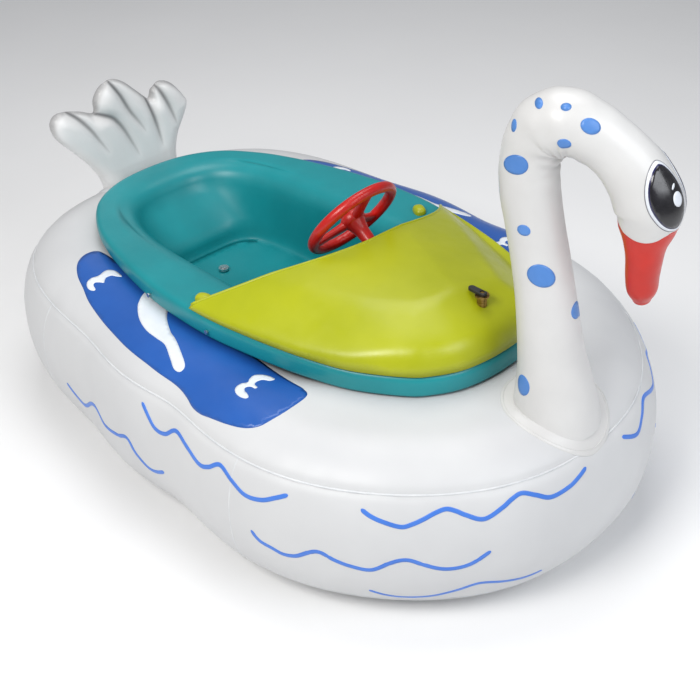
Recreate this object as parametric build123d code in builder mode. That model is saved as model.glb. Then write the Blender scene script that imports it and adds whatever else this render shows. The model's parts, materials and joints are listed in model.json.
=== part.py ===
from build123d import *
import math
import os

os.makedirs("parts", exist_ok=True)

# ----------------------------------------------------------------------------
# Child's pedal boat: an inflated ring with a bird's neck, head and tail, and a
# rigid tub with a seat, a hood, a steering wheel, a rudder and a pedal-driven
# paddle wheel.  +X is the bow, +Y is port, +Z is up, z = 0 is the ground.
# ----------------------------------------------------------------------------

# buoyancy ring (outer plan is a chain of tangent arcs)
RING_BOW = 939.0
RING_STERN = -958.0
RING_HALF_W = 628.0
RING_STERN_R = 1000.0
RING_STERN_A = 22.0
TUBE_W = 381.0            # section width
TUBE_H = 448.0            # section height
TUBE_Z0 = 3.0             # underside of the ring above the ground
TUBE_WALL = 2.0
SECTION_N = 2.3           # superellipse exponent of the section

# coaming (outer plan of the tub's deck)
COAM_BOW = 628.0
COAM_STERN = -805.0
COAM_HALF_W = 405.0
COAM_R1, COAM_A1 = 331.7, 68.4
COAM_R4, COAM_A4 = 339.0, 70.0
DECK_TOP = 515.0
DECK_BOT = 456.0
TUB_WALL = 5.0

# basin of the tub
BASIN_X0, BASIN_X1 = -550.0, 530.0
BASIN_HALF_W = 220.0
BASIN_R = 200.0
SEAT_Z = 275.0
SEAT_FRONT = -155.0
FLOOR_Z = 7.0
BACK_TOP_X = -665.0

# paddle-wheel well
WELL_X0, WELL_X1 = 35.0, 465.0
WELL_HALF_W = 80.0
WELL_TOP = 470.0

# crank and paddle wheel
CRANK_X, CRANK_Z = 250.0, 250.0
CRANK_THROW = 90.0
SHAFT_R = 10.0
PADDLE_R = 185.0
PEDAL_Y0, PEDAL_Y1 = 108.0, 188.0

# steering
WHEEL_C = (120.0, 0.0, 667.0)
WHEEL_R = 119.0           # centreline radius of the rim
RIM_R = 14.0
COLUMN_DEG = 34.0         # slope of the column below the horizontal
STEER_SHAFT_R = 9.0
DRUM_R = 22.1

# rudder
RUD_X = -450.0
RUD_ARM = 60.0
LINK_Z = 211.0

# hood
HOOD_Z0 = 515.5
HOOD_WALL = 4.0
HOOD_CROWN = 645.0
LOCK_X = 551.0

RUN = 0.05                # radial running clearance


def mirrored_loop(half):
    """Close a half outline given as [(start, mid, end)] into a full loop."""
    back = [((c[0], -c[1]), (b[0], -b[1]), (a[0], -a[1])) for a, b, c in reversed(half)]
    return half + back


def arc_chain(x0, x1, w, r1, a1, r4, a4, inset=0.0):
    """Bow-to-stern half outline of four tangent arcs and a straight side."""
    s1, s4 = math.sin(math.radians(a1)), math.sin(math.radians(a4))
    r2 = r1 if a1 >= 89.9 else (w - r1 * s1) / (1 - s1)
    r3 = (w - r4 * s4) / (1 - s4)
    segs = []
    p, h = (x0 - inset, 0.0), 90.0

    def arc(p, h, r, turn):
        r -= inset
        cx = p[0] + r * math.cos(math.radians(h + 90))
        cy = p[1] + r * math.sin(math.radians(h + 90))
        a0 = h - 90
        pt = lambda t: (cx + r * math.cos(math.radians(a0 + t)), cy + r * math.sin(math.radians(a0 + t)))
        segs.append(("arc", p, pt(turn / 2), pt(turn), (cx, cy), r, a0, turn))
        return pt(turn), h + turn

    p, h = arc(p, h, r1, min(a1, 90.0))
    if a1 < 89.9:
        p, h = arc(p, h, r2, 90 - a1)
    # x covered by the stern arcs
    c4 = math.cos(math.radians(a4))
    dx = (r3 - inset) * c4 + (r4 - inset) * (1 - c4)
    xe = x1 + inset + dx
    q = (xe, p[1])
    if p[0] - q[0] > 1.0:
        segs.append(("line", p, ((p[0] + q[0]) / 2, p[1]), q, None, None, None, None))
    else:
        q = p
    p, h = arc(q, h, r3, 90 - a4)
    p, h = arc(p, h, r4, a4)
    return segs


def draw_loop(segs):
    """Lines of a full outline, for use inside a BuildLine block."""
    half = [(s[1], s[2], (s[3][0], 0.0 if i == len(segs) - 1 else s[3][1])) for i, s in enumerate(segs)]
    kinds = [s[0] for s in segs]
    loop = mirrored_loop(half)
    for (a, b, c), k in zip(loop, kinds + kinds[::-1]):
        if k == "arc":
            ThreePointArc(a, b, c)
        else:
            Line(a, c)


def ring_args(inset=0.0):
    return arc_chain(RING_BOW, RING_STERN, RING_HALF_W, RING_HALF_W, 90.0,
                     RING_STERN_R, RING_STERN_A, inset)


def coaming(inset=0.0):
    return arc_chain(COAM_BOW, COAM_STERN, COAM_HALF_W, COAM_R1, COAM_A1, COAM_R4, COAM_A4, inset)


def section_points(grow=0.0, n=24):
    """Superellipse section of the tube: x across, y up from the ground."""
    a, b = TUBE_W / 2 + grow, TUBE_H / 2 + grow
    pts = []
    for i in range(n):
        t = 2 * math.pi * i / n
        c, s = math.cos(t), math.sin(t)
        pts.append((a * math.copysign(abs(c) ** (2 / SECTION_N), c),
                    TUBE_Z0 + TUBE_H / 2 + b * math.copysign(abs(s) ** (2 / SECTION_N), s)))
    return pts


def tube_sector(seg, t0, t1, grow=0.0, hollow=True):
    """One welded panel of the ring, between fractions t0 and t1 of a segment."""
    if seg[0] == "arc":
        (cx, cy), r, a0, turn = seg[4], seg[5], seg[6] + seg[7] * t0, seg[7] * (t1 - t0)
        ca, sa = math.cos(math.radians(a0)), math.sin(math.radians(a0))
        plane = Plane(origin=(cx + r * ca, cy + r * sa, 0), x_dir=(ca, sa, 0), z_dir=(sa, -ca, 0))
    else:
        p = (seg[1][0] + (seg[3][0] - seg[1][0]) * t0, seg[1][1])
        length = abs(seg[3][0] - seg[1][0]) * (t1 - t0)
        plane = Plane(origin=(p[0], p[1], 0), x_dir=(0, 1, 0), z_dir=(1, 0, 0))
    with BuildPart() as sector:
        with BuildSketch(plane):
            with BuildLine():
                Spline(*section_points(grow), periodic=True)
            make_face()
            if hollow:
                with BuildLine(mode=Mode.PRIVATE) as inner:
                    Spline(*section_points(-TUBE_WALL), periodic=True)
                make_face(inner.edges(), mode=Mode.SUBTRACT)
        if seg[0] == "arc":
            revolve(axis=Axis((cx, cy, 0), (0, 0, 1)), revolution_arc=turn)
        else:
            extrude(amount=-length)
    return sector.part


def mirror_y(part):
    return mirror(part, about=Plane.XZ)


def solids_of(parts):
    out = []
    for p in parts:
        out += list(p.solids())
    return out


def group(label, parts):
    """Several separate solids kept in one named piece."""
    return Compound(label=label, children=solids_of(parts))


# --------------------------------------------------------------- buoyancy ring
ring_mid = ring_args(TUBE_W / 2)
panels = []
for seg, cuts in zip(ring_mid, ([0, 1 / 3, 2 / 3, 1], [0, 0.5, 1], [0, 0.5, 1], [0, 1])):
    for t0, t1 in zip(cuts, cuts[1:]):
        panels.append(tube_sector(seg, t0, t1))
buoyancy_tube = group("buoyancy_tube", panels + [mirror_y(p) for p in panels])
export_step(buoyancy_tube, "parts/buoyancy_tube.step")

bow_core_half = tube_sector(ring_mid[0], 0, 0.5, grow=0.3, hollow=False)
stern_core_half = tube_sector(ring_mid[3], 0, 1, grow=0.3, hollow=False)

# ------------------------------------------------------------ neck, head, beak
NECK = [  # x, y, z of the centreline and radius
    (779, 0, 405, 96), (776, 0, 466, 90), (756, 0, 580, 72), (733, 0, 701, 65), (712, 0, 794, 62),
    (689, 0, 880, 62), (669, 0, 958, 64), (667, 0, 1037, 67), (686, 8, 1102, 69), (729, 28, 1131, 70),
    (777, 51, 1112, 73),
]
HEAD = [(777, 51, 1112, 73), (826, 73, 1068, 79), (868, 93, 1008, 80), (893, 104, 945, 74),
        (903, 109, 905, 62)]
BEAK = [(903.5, 109.3, 903, 57), (909, 112, 870, 51), (910, 112, 840, 43), (908, 111, 800, 31),
        (905, 110, 760, 19), (903, 109, 734, 9)]
SKIN = 2.0


def tangent(pts, i):
    a = pts[max(i - 1, 0)]
    b = pts[min(i + 1, len(pts) - 1)]
    v = Vector(b[0] - a[0], b[1] - a[1], b[2] - a[2])
    return v.normalized()


def limb(pts, first=0, last=None, hollow=True):
    """Inflated limb: a chain of conical panels welded end to end."""
    out = []
    for i in range(first, len(pts) - 1 if last is None else last):
        planes = []
        for j in (i, i + 1):
            t = tangent(pts, j)
            planes.append(Plane(origin=pts[j][:3], x_dir=(0, 1, 0) if abs(t.Y) < 0.8 else (1, 0, 0), z_dir=t))
        with BuildPart() as panel:
            for j, pl in zip((i, i + 1), planes):
                with BuildSketch(pl):
                    Circle(pts[j][3])
            loft(ruled=True)
            if hollow:
                for j, pl in zip((i, i + 1), planes):
                    with BuildSketch(pl):
                        Circle(pts[j][3] - SKIN)
                loft(ruled=True, mode=Mode.SUBTRACT)
        out.append(panel.part)
    return out


BIRD = NECK + HEAD[1:]
neck_panels = limb(BIRD, 0, len(NECK) - 1)
with BuildPart() as neck_foot:
    add(neck_panels[0])
    add(bow_core_half, mode=Mode.SUBTRACT)
    add(mirror_y(bow_core_half), mode=Mode.SUBTRACT)
foot_top = [s for s in neck_foot.part.solids() if s.center().Z > 420]
swan_neck = group("swan_neck", foot_top + neck_panels[1:])
export_step(swan_neck, "parts/swan_neck.step")

swan_head = group("swan_head", limb(BIRD, len(NECK) - 1))
export_step(swan_head, "parts/swan_head.step")
beak = group("beak", limb(BEAK))
export_step(beak, "parts/beak.step")

with BuildPart() as neck_collar:
    with BuildSketch(Plane.XY.offset(405)):
        with Locations((778, 0)):
            Circle(122)
            Circle(97, mode=Mode.SUBTRACT)
    extrude(amount=51)
    add(bow_core_half, mode=Mode.SUBTRACT)
    add(mirror_y(bow_core_half), mode=Mode.SUBTRACT)
neck_collar.part.label = "neck_collar"
export_step(neck_collar.part, "parts/neck_collar.step")

# ------------------------------------------------------------------------ tail
TAIL_X0, TAIL_X1 = -913.0, -823.0
with BuildPart() as tail_fan:
    with BuildSketch(Plane(origin=(TAIL_X0, 0, 0), x_dir=(0, 1, 0), z_dir=(1, 0, 0))):
        with BuildLine():
            Polyline((-132, 370), (-132, 470), (-150, 515), (-190, 560), (-238, 625), (-236, 672), (-205, 706),
                     (-158, 711), (-98, 684), (-58, 748), (0, 769), (58, 748), (98, 684), (158, 711),
                     (205, 706), (236, 672), (238, 625), (190, 560), (150, 515), (132, 470), (132, 370), close=True)
        make_face()
    extrude(amount=TAIL_X1 - TAIL_X0)
    add(stern_core_half, mode=Mode.SUBTRACT)
    add(mirror_y(stern_core_half), mode=Mode.SUBTRACT)
tail_top = max(tail_fan.part.solids(), key=lambda s: s.volume)
with BuildPart() as tail_hollow:
    with BuildSketch(Plane(origin=(TAIL_X0 + 3, 0, 0), x_dir=(0, 1, 0), z_dir=(1, 0, 0))):
        with BuildLine():
            Polyline((-128, 460), (-146, 517), (-186, 563), (-233, 627), (-231, 670), (-203, 701),
                     (-159, 706), (-96, 678), (-55, 744), (0, 764), (55, 744), (96, 678), (159, 706),
                     (203, 701), (231, 670), (233, 627), (186, 563), (146, 517), (128, 460), close=True)
        make_face()
    extrude(amount=TAIL_X1 - TAIL_X0 - 6)
with BuildPart() as tail_shell:
    add(tail_top)
    add(tail_hollow.part, mode=Mode.SUBTRACT)
tail_shell.part.label = "tail_fan"
export_step(tail_shell.part, "parts/tail_fan.step")

with BuildPart() as tail_flange:
    with BuildSketch(Plane.XY.offset(380)):
        with Locations(((TAIL_X0 + TAIL_X1) / 2, 0)):
            RectangleRounded(126, 304, 20)
            Rectangle(TAIL_X1 - TAIL_X0 + 0.2, 264.2, mode=Mode.SUBTRACT)
    extrude(amount=60)
    add(stern_core_half, mode=Mode.SUBTRACT)
    add(mirror_y(stern_core_half), mode=Mode.SUBTRACT)
    # only the part near the ring's skin is kept as a thin weld flange
    with BuildSketch(Plane.XY.offset(449)):
        with Locations((-868, 0)):
            Rectangle(200, 400)
    extrude(amount=40, mode=Mode.SUBTRACT)
tail_flange.part.label = "tail_flange"
export_step(tail_flange.part, "parts/tail_flange.step")

# ------------------------------------------------------------------------- tub
BASIN_CX = (BASIN_X0 + BASIN_X1) / 2
BASIN_L = BASIN_X1 - BASIN_X0
back_plane = Plane(origin=(0, 0, 0), x_dir=(1, 0, 0), z_dir=(0, -1, 0))

with BuildPart() as cockpit_tub:
    # deck block
    with BuildSketch(Plane.XY.offset(DECK_BOT)):
        with BuildLine():
            draw_loop(coaming())
        make_face()
    extrude(amount=DECK_TOP - DECK_BOT)
    fillet(cockpit_tub.faces().sort_by(Axis.Z)[-1].edges(), radius=16)
    # hollow under the deck
    with BuildSketch(Plane.XY.offset(DECK_BOT)):
        with BuildLine():
            draw_loop(coaming(TUB_WALL))
        make_face()
    extrude(amount=DECK_TOP - DECK_BOT - TUB_WALL - 11, mode=Mode.SUBTRACT)
    with BuildSketch(Plane.XY.offset(DECK_BOT)):
        with BuildLine():
            draw_loop(coaming(TUB_WALL + 14))
        make_face()
    extrude(amount=DECK_TOP - DECK_BOT - TUB_WALL, mode=Mode.SUBTRACT)
    # outside of the basin
    with BuildSketch(Plane.XY):
        with Locations((BASIN_CX, 0)):
            RectangleRounded(BASIN_L, 2 * BASIN_HALF_W, BASIN_R)
    extrude(amount=DECK_TOP - 2)
    # outside of the leaning back rest
    with BuildSketch(back_plane.offset(-118)):
        with BuildLine():
            Polyline((-400, SEAT_Z - 5), (BASIN_X0 + 2, SEAT_Z - 5), (BACK_TOP_X - 6, DECK_TOP - 2),
                     (-400, DECK_TOP - 2), close=True)
        make_face()
    extrude(amount=236)
    # rudder bay under the seat, open to the water
    with BuildSketch(Plane.XY):
        with Locations(((BASIN_X0 - 20 + SEAT_FRONT - TUB_WALL) / 2, 0)):
            Rectangle(SEAT_FRONT - TUB_WALL - BASIN_X0 + 20, 2 * BASIN_HALF_W + 20)
    extrude(amount=SEAT_Z - TUB_WALL, mode=Mode.SUBTRACT)
    # inside of the cockpit above the seat
    with BuildSketch(Plane.XY.offset(SEAT_Z)):
        with Locations((BASIN_CX, 0)):
            RectangleRounded(BASIN_L - 2 * TUB_WALL, 2 * BASIN_HALF_W - 2 * TUB_WALL, BASIN_R - TUB_WALL)
    extrude(amount=300, mode=Mode.SUBTRACT)
    with BuildSketch(back_plane.offset(-113)):
        with BuildLine():
            Polyline((-400, SEAT_Z), (BASIN_X0 + 7, SEAT_Z), (BACK_TOP_X, DECK_TOP + 2), (-400, DECK_TOP + 2),
                     close=True)
        make_face()
    extrude(amount=226, mode=Mode.SUBTRACT)
    # footwell
    with BuildSketch(Plane.XY.offset(FLOOR_Z)):
        with Locations((BASIN_CX, 0)):
            RectangleRounded(BASIN_L - 2 * TUB_WALL, 2 * BASIN_HALF_W - 2 * TUB_WALL, BASIN_R - TUB_WALL)
        with Locations((SEAT_FRONT - 500, 0)):
            Rectangle(1000, 600, mode=Mode.SUBTRACT)
    extrude(amount=SEAT_Z - FLOOR_Z, mode=Mode.SUBTRACT)
    # paddle-wheel well
    with BuildSketch(Plane.XY):
        with Locations(((WELL_X0 + WELL_X1) / 2, 0)):
            Rectangle(WELL_X1 - WELL_X0, 2 * WELL_HALF_W)
    extrude(amount=WELL_TOP)
    with BuildSketch(Plane.XY):
        with Locations(((WELL_X0 + WELL_X1) / 2, 0)):
            Rectangle(WELL_X1 - WELL_X0 - 2 * TUB_WALL, 2 * WELL_HALF_W - 2 * TUB_WALL)
    extrude(amount=WELL_TOP - TUB_WALL, mode=Mode.SUBTRACT)
    # crank holes in the well walls
    with Locations(Location((CRANK_X, 0, CRANK_Z), (90, 0, 0))):
        Cylinder(SHAFT_R + 2, 2 * WELL_HALF_W + 20, mode=Mode.SUBTRACT)
    # conduit hole in the seat riser
    with Locations(Location((SEAT_FRONT - 2.5, 148.0, 202.6), (0, 90, 0))):
        Cylinder(11, 40, mode=Mode.SUBTRACT)
    # drain hole in the footwell floor
    with Locations((-60, 0, 3)):
        Cylinder(12.05, 30, mode=Mode.SUBTRACT)
    # rudder trunk hole in the seat pan
    with Locations((RUD_X, 0, SEAT_Z - 2)):
        Cylinder(8.5, 30, mode=Mode.SUBTRACT)
    # screw holes through the coaming skirt
    with Locations(*[Location((x, s * 395, 478), (90, 0, 0)) for x in (-220, 20) for s in (-1, 1)]):
        Cylinder(2.6, 60, mode=Mode.SUBTRACT)
cockpit_tub.part.label = "cockpit_tub"
export_step(cockpit_tub.part, "parts/cockpit_tub.step")

pads = []
for x in (-330, -60, 210):
    with BuildPart() as side_pad:
        with BuildSketch(Plane.XY.offset(190)):
            with Locations((x, (BASIN_HALF_W + 245.5) / 2 + 0.1)):
                RectangleRounded(120, 245.5 - BASIN_HALF_W - 0.2, 6)
        extrude(amount=72)
    pads.append(side_pad.part)
side_pads = group("side_pads", pads + [mirror_y(p) for p in pads])
export_step(side_pads, "parts/side_pads.step")

with BuildPart() as drain_plug:
    with BuildSketch(Plane.XY.offset(FLOOR_Z)):
        with Locations((-60, 0)):
            Circle(18)
    extrude(amount=5)
    with BuildSketch(Plane.XY.offset(1)):
        with Locations((-60, 0)):
            Circle(12)
    extrude(amount=8)
    with BuildSketch(Plane.XY.offset(FLOOR_Z + 5)):
        with Locations((-60, 0)):
            Rectangle(26, 5)
    extrude(amount=8)
drain_plug.part.label = "drain_plug"
export_step(drain_plug.part, "parts/drain_plug.step")

# ------------------------------------------------------------------------ hood


def hood_block(inset):
    """Crowned cover with a concave rear edge; inset shrinks it to the inner face."""
    z0 = HOOD_Z0 if inset == 0 else HOOD_Z0 - 5
    with BuildPart() as block:
        with BuildSketch(Plane.XY.offset(z0)):
            with BuildLine():
                draw_loop(coaming(1.0 + inset))
            make_face()
            with BuildLine() as rear:
                if inset == 0:
                    e0 = ThreePointArc((-28, 400), (196, 0), (-28, -400))
                    Polyline((-28, -400), (-28, -500), (-1200, -500), (-1200, 500), (-28, 500), (-28, 400))
                else:
                    e0 = ThreePointArc((-60, 400), (170, 0), (-60, -400))
                    Polyline((-60, -400), (-60, -500), (-1200, -500), (-1200, 500), (-60, 500), (-60, 400))
            make_face(rear.edges(), mode=Mode.SUBTRACT)
        extrude(amount=HOOD_CROWN - HOOD_Z0 + 30)
        # side view
        k = inset
        with BuildSketch(back_plane.offset(-500)):
            with BuildLine():
                Polyline((-120, 480), (-120, 640 - k), (60, 645 - k), (200, 645 - k), (400, 638 - k),
                         (560, 626 - k), (600 - k, 606 - k), (622 - k, 570 - k), (626.5 - k, 480), close=True)
            make_face()
        extrude(amount=1000, mode=Mode.INTERSECT)
        # end view
        with BuildSketch(Plane(origin=(-300, 0, 0), x_dir=(0, 1, 0), z_dir=(1, 0, 0))):
            with BuildLine():
                right = [(403.5 - k, 480), (403.5 - k, 526 - k), (392 - k, 538 - k), (330, 560 - k), (250, 592 - k), (165, 634 - k),
                         (110, 644 - k)]
                Polyline(*right, *[(-x, z) for x, z in reversed(right)], close=True)
            make_face()
        extrude(amount=1200, mode=Mode.INTERSECT)
    return block.part


hood_outer = hood_block(0.0)
hood_inner = hood_block(HOOD_WALL)
with BuildPart() as hood:
    add(hood_outer)
    add(hood_inner, mode=Mode.SUBTRACT)
    with Locations((LOCK_X, 0, 620)):
        Cylinder(12.1, 60, mode=Mode.SUBTRACT)
hood.part.label = "hood"
export_step(hood.part, "parts/hood.step")

cleats = []
for s in (1, -1):
    with BuildPart() as cleat:
        with BuildSketch(Plane.XY.offset(DECK_TOP)):
            with Locations((-52, s * 352)):
                RectangleRounded(34, 26, 5)
        extrude(amount=11)
        fillet(cleat.faces().sort_by(Axis.Z)[-1].edges(), radius=3)
    cleats.append(cleat.part)
hood_cleats = group("hood_cleats", cleats)
export_step(hood_cleats, "parts/hood_cleats.step")

with BuildPart() as lock_barrel:
    with BuildSketch(Plane.XY.offset(604)):
        with Locations((LOCK_X, 0)):
            Circle(12)
            Circle(6 + RUN, mode=Mode.SUBTRACT)
    extrude(amount=27)
    with BuildSketch(Plane.XY.offset(630)):
        with Locations((LOCK_X, 0)):
            Circle(17)
            Circle(6 + RUN, mode=Mode.SUBTRACT)
    extrude(amount=4)
lock_barrel.part.label = "lock_barrel"
export_step(lock_barrel.part, "parts/lock_barrel.step")

with BuildPart() as lock_spindle:
    with BuildSketch(Plane.XY.offset(572)):
        with Locations((LOCK_X, 0)):
            Circle(6)
    extrude(amount=66)
    with BuildSketch(Plane.XY.offset(572)):
        with Locations((LOCK_X - 12, 0)):
            SlotOverall(44, 14)
    extrude(amount=5)
lock_spindle.part.label = "lock_spindle"
export_step(lock_spindle.part, "parts/lock_spindle.step")

with BuildPart() as lock_lever:
    with BuildSketch(Plane.XY.offset(634.5)):
        with Locations((LOCK_X - 14, 0)):
            SlotOverall(52, 17)
        with Locations((LOCK_X, 0)):
            Circle(6, mode=Mode.SUBTRACT)
    extrude(amount=7)
    fillet(lock_lever.faces().sort_by(Axis.Z)[-1].edges().filter_by(GeomType.CIRCLE, reverse=True), radius=2)
lock_lever.part.label = "lock_lever"
export_step(lock_lever.part, "parts/lock_lever.step")

# -------------------------------------------------------------------- steering
cd, sd = math.cos(math.radians(COLUMN_DEG)), math.sin(math.radians(COLUMN_DEG))


def column_plane(s):
    """Plane across the column, s millimetres down it from the wheel's centre."""
    return Plane(origin=(WHEEL_C[0] + cd * s, 0, WHEEL_C[2] - sd * s), x_dir=(0, 1, 0), z_dir=(cd, 0, -sd))


wheel_plane = column_plane(0)
rim_plane = Plane(origin=wheel_plane.origin, x_dir=(0, 1, 0), z_dir=(sd, 0, cd))
with BuildPart() as steering_wheel:
    # rim: a torus about the column
    with BuildSketch(Plane(origin=wheel_plane.origin, x_dir=(0, 1, 0), z_dir=(sd, 0, cd))):
        with Locations((WHEEL_R, 0)):
            Circle(RIM_R)
    revolve(axis=Axis(wheel_plane.origin, wheel_plane.z_dir), revolution_arc=360)
    # hub
    with BuildSketch(column_plane(-14)):
        Circle(30)
    extrude(amount=36, taper=8)
    # three spokes
    with BuildSketch(column_plane(-6)):
        for a in (90, 210, 330):
            with PolarLocations(0, 1, start_angle=a):
                with Locations((66, 0)):
                    Rectangle(94, 26)
    extrude(amount=12)
    with BuildSketch(column_plane(-20)):
        Circle(STEER_SHAFT_R)
    extrude(amount=60, mode=Mode.SUBTRACT)
steering_wheel.part.label = "steering_wheel"
export_step(steering_wheel.part, "parts/steering_wheel.step")

with BuildPart() as steering_shaft:
    with BuildSketch(column_plane(-16)):
        Circle(STEER_SHAFT_R)
    extrude(amount=302)
steering_shaft.part.label = "steering_shaft"
export_step(steering_shaft.part, "parts/steering_shaft.step")

with BuildPart() as hub_cap:
    with BuildSketch(column_plane(-26)):
        Circle(24)
    extrude(amount=10)
    fillet(hub_cap.faces().sort_by(Axis((0, 0, 0), (cd, 0, -sd)))[0].edges(), radius=6)
hub_cap.part.label = "hub_cap"
export_step(hub_cap.part, "parts/hub_cap.step")

with BuildPart() as hub_nut:
    with BuildSketch(column_plane(22)):
        RegularPolygon(16, 6)
        Circle(STEER_SHAFT_R, mode=Mode.SUBTRACT)
    extrude(amount=9)
hub_nut.part.label = "hub_nut"
export_step(hub_nut.part, "parts/hub_nut.step")

with BuildPart() as helm_bush:
    with BuildSketch(column_plane(212)):
        Circle(16)
        Circle(STEER_SHAFT_R + RUN, mode=Mode.SUBTRACT)
    extrude(amount=36)
    with BuildSketch(column_plane(208)):
        Circle(21)
        Circle(STEER_SHAFT_R + RUN, mode=Mode.SUBTRACT)
    extrude(amount=8)
helm_bush.part.label = "helm_bush"
export_step(helm_bush.part, "parts/helm_bush.step")

with BuildPart() as helm_bracket:
    with BuildSketch(column_plane(217)):
        with BuildLine():
            Polyline((-34, -130), (34, -130), (34, 6), (22, 28), (-22, 28), (-34, 6), close=True)
        make_face()
    extrude(amount=12)
    with BuildSketch(Plane.XY.offset(WELL_TOP)):
        with Locations((285, 0)):
            RectangleRounded(120, 110, 10)
    extrude(amount=6)
    with BuildSketch(column_plane(200)):
        Circle(16)
    extrude(amount=60, mode=Mode.SUBTRACT)
    split(bisect_by=Plane.XY.offset(WELL_TOP), keep=Keep.TOP)
    with Locations(*[(x, y, WELL_TOP) for x in (240, 330) for y in (-42, 42)]):
        Cylinder(3.1, 30, mode=Mode.SUBTRACT)
helm_bracket.part.label = "helm_bracket"
export_step(helm_bracket.part, "parts/helm_bracket.step")

bolts = []
for x in (240, 330):
    for y in (-42, 42):
        with BuildPart() as bolt:
            with BuildSketch(Plane.XY.offset(WELL_TOP + 6)):
                with Locations((x, y)):
                    RegularPolygon(6, 6)
            extrude(amount=4)
            with BuildSketch(Plane.XY.offset(WELL_TOP + 0.5)):
                with Locations((x, y)):
                    Circle(3)
            extrude(amount=6)
        bolts.append(bolt.part)
bracket_bolts = group("bracket_bolts", bolts)
export_step(bracket_bolts, "parts/bracket_bolts.step")

with BuildPart() as cable_drum:
    with BuildSketch(column_plane(254)):
        Circle(26)
    extrude(amount=3)
    with BuildSketch(column_plane(257)):
        Circle(DRUM_R)
    extrude(amount=16)
    with BuildSketch(column_plane(273)):
        Circle(26)
    extrude(amount=3)
    with BuildSketch(column_plane(250)):
        Circle(STEER_SHAFT_R)
    extrude(amount=40, mode=Mode.SUBTRACT)
cable_drum.part.label = "cable_drum"
export_step(cable_drum.part, "parts/cable_drum.step")

# push-pull conduit from the drum to the rudder bay
CONDUIT_R = 5.0
ROUTE = [(352, 40, 505), (330, 110, 512), (270, 172, 498), (190, 196, 468), (110, 198, 420), (40, 196, 350),
         (-10, 188, 272), (-62, 174, 218), (-118, 158, 204), (-178, 138, 202.5), (-236, 100, 206),
         (-264, 66, 210.5), (-295, 60, 211)]


def route_radii(pts):
    out = []
    for a, b, c in zip(pts, pts[1:], pts[2:]):
        u, v = Vector(*b) - Vector(*a), Vector(*c) - Vector(*b)
        turn = math.radians(u.get_angle(v))
        out.append(0.45 * min(u.length, v.length) / math.tan(turn / 2))
    return out


radii = route_radii(ROUTE)
print("conduit radii", [round(r, 1) for r in radii])
with BuildPart() as steering_conduit:
    with BuildLine() as conduit_path:
        FilletPolyline(*ROUTE, radius=radii)
    route_wire = conduit_path.wires()[0]
    with BuildSketch(route_wire ^ 0):
        Circle(CONDUIT_R)
    sweep(path=route_wire)
steering_conduit.part.label = "steering_conduit"
export_step(steering_conduit.part, "parts/steering_conduit.step")
print("conduit length", round(route_wire.length, 1), "volume ratio",
      round(steering_conduit.part.volume / (math.pi * CONDUIT_R ** 2 * route_wire.length), 4))

with BuildPart() as conduit_end:
    with BuildSketch(Plane(origin=(-396, 60, LINK_Z), x_dir=(0, 1, 0), z_dir=(1, 0, 0))):
        Circle(6.5)
        Circle(3 + RUN, mode=Mode.SUBTRACT)
    extrude(amount=101)
    # bulkhead bracket to the seat pan
    with BuildSketch(Plane(origin=(-352, 60, LINK_Z), x_dir=(0, 1, 0), z_dir=(1, 0, 0))):
        with Locations((0, (SEAT_Z - TUB_WALL - LINK_Z) / 2)):
            Rectangle(24, SEAT_Z - TUB_WALL - LINK_Z)
        Circle(12)
        Circle(3 + RUN, mode=Mode.SUBTRACT)
    extrude(amount=12)
conduit_end.part.label = "conduit_end"
export_step(conduit_end.part, "parts/conduit_end.step")

clips = []
for i, span in ((3, 0.5), (4, 0.5)):
    a, b = Vector(*ROUTE[i]), Vector(*ROUTE[i + 1])
    m = a + (b - a) * span
    pl = Plane(origin=m, x_dir=(0, 1, 0), z_dir=(b - a).normalized())
    with BuildPart() as clip:
        with BuildSketch(pl):
            with Locations(((BASIN_HALF_W - TUB_WALL - m.Y - 9) / 2 - 0.2, 0)):
                Rectangle(BASIN_HALF_W - TUB_WALL - m.Y + 9, 18)
            Circle(CONDUIT_R + 0.02, mode=Mode.SUBTRACT)
        extrude(amount=5, both=True)
    clips.append(clip.part)
conduit_clips = group("conduit_clips", clips)
export_step(conduit_clips, "parts/conduit_clips.step")

with BuildPart() as riser_grommet:
    with BuildSketch(Plane(origin=(SEAT_FRONT - TUB_WALL, 148.0, 202.6), x_dir=(0, 1, 0), z_dir=(1, 0, 0))):
        Circle(10.9)
    extrude(amount=TUB_WALL)
    with BuildSketch(Plane(origin=(SEAT_FRONT, 148.0, 202.6), x_dir=(0, 1, 0), z_dir=(1, 0, 0))):
        Circle(15)
    extrude(amount=3)
    add(steering_conduit.part, mode=Mode.SUBTRACT)
riser_grommet.part.label = "riser_grommet"
export_step(riser_grommet.part, "parts/riser_grommet.step")

with BuildPart() as link_yoke:
    with BuildSketch(Plane.XY.offset(LINK_Z - 3)):
        with Locations((RUD_X, 55)):
            RectangleRounded(26, 44, 5)
            SlotOverall(30, 11.5, rotation=90, mode=Mode.SUBTRACT)
    extrude(amount=6)
    with BuildSketch(Plane(origin=(RUD_X + 11, 60, LINK_Z), x_dir=(0, 1, 0), z_dir=(1, 0, 0))):
        Circle(3)
    extrude(amount=99)
link_yoke.part.label = "link_yoke"
export_step(link_yoke.part, "parts/link_yoke.step")

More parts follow.
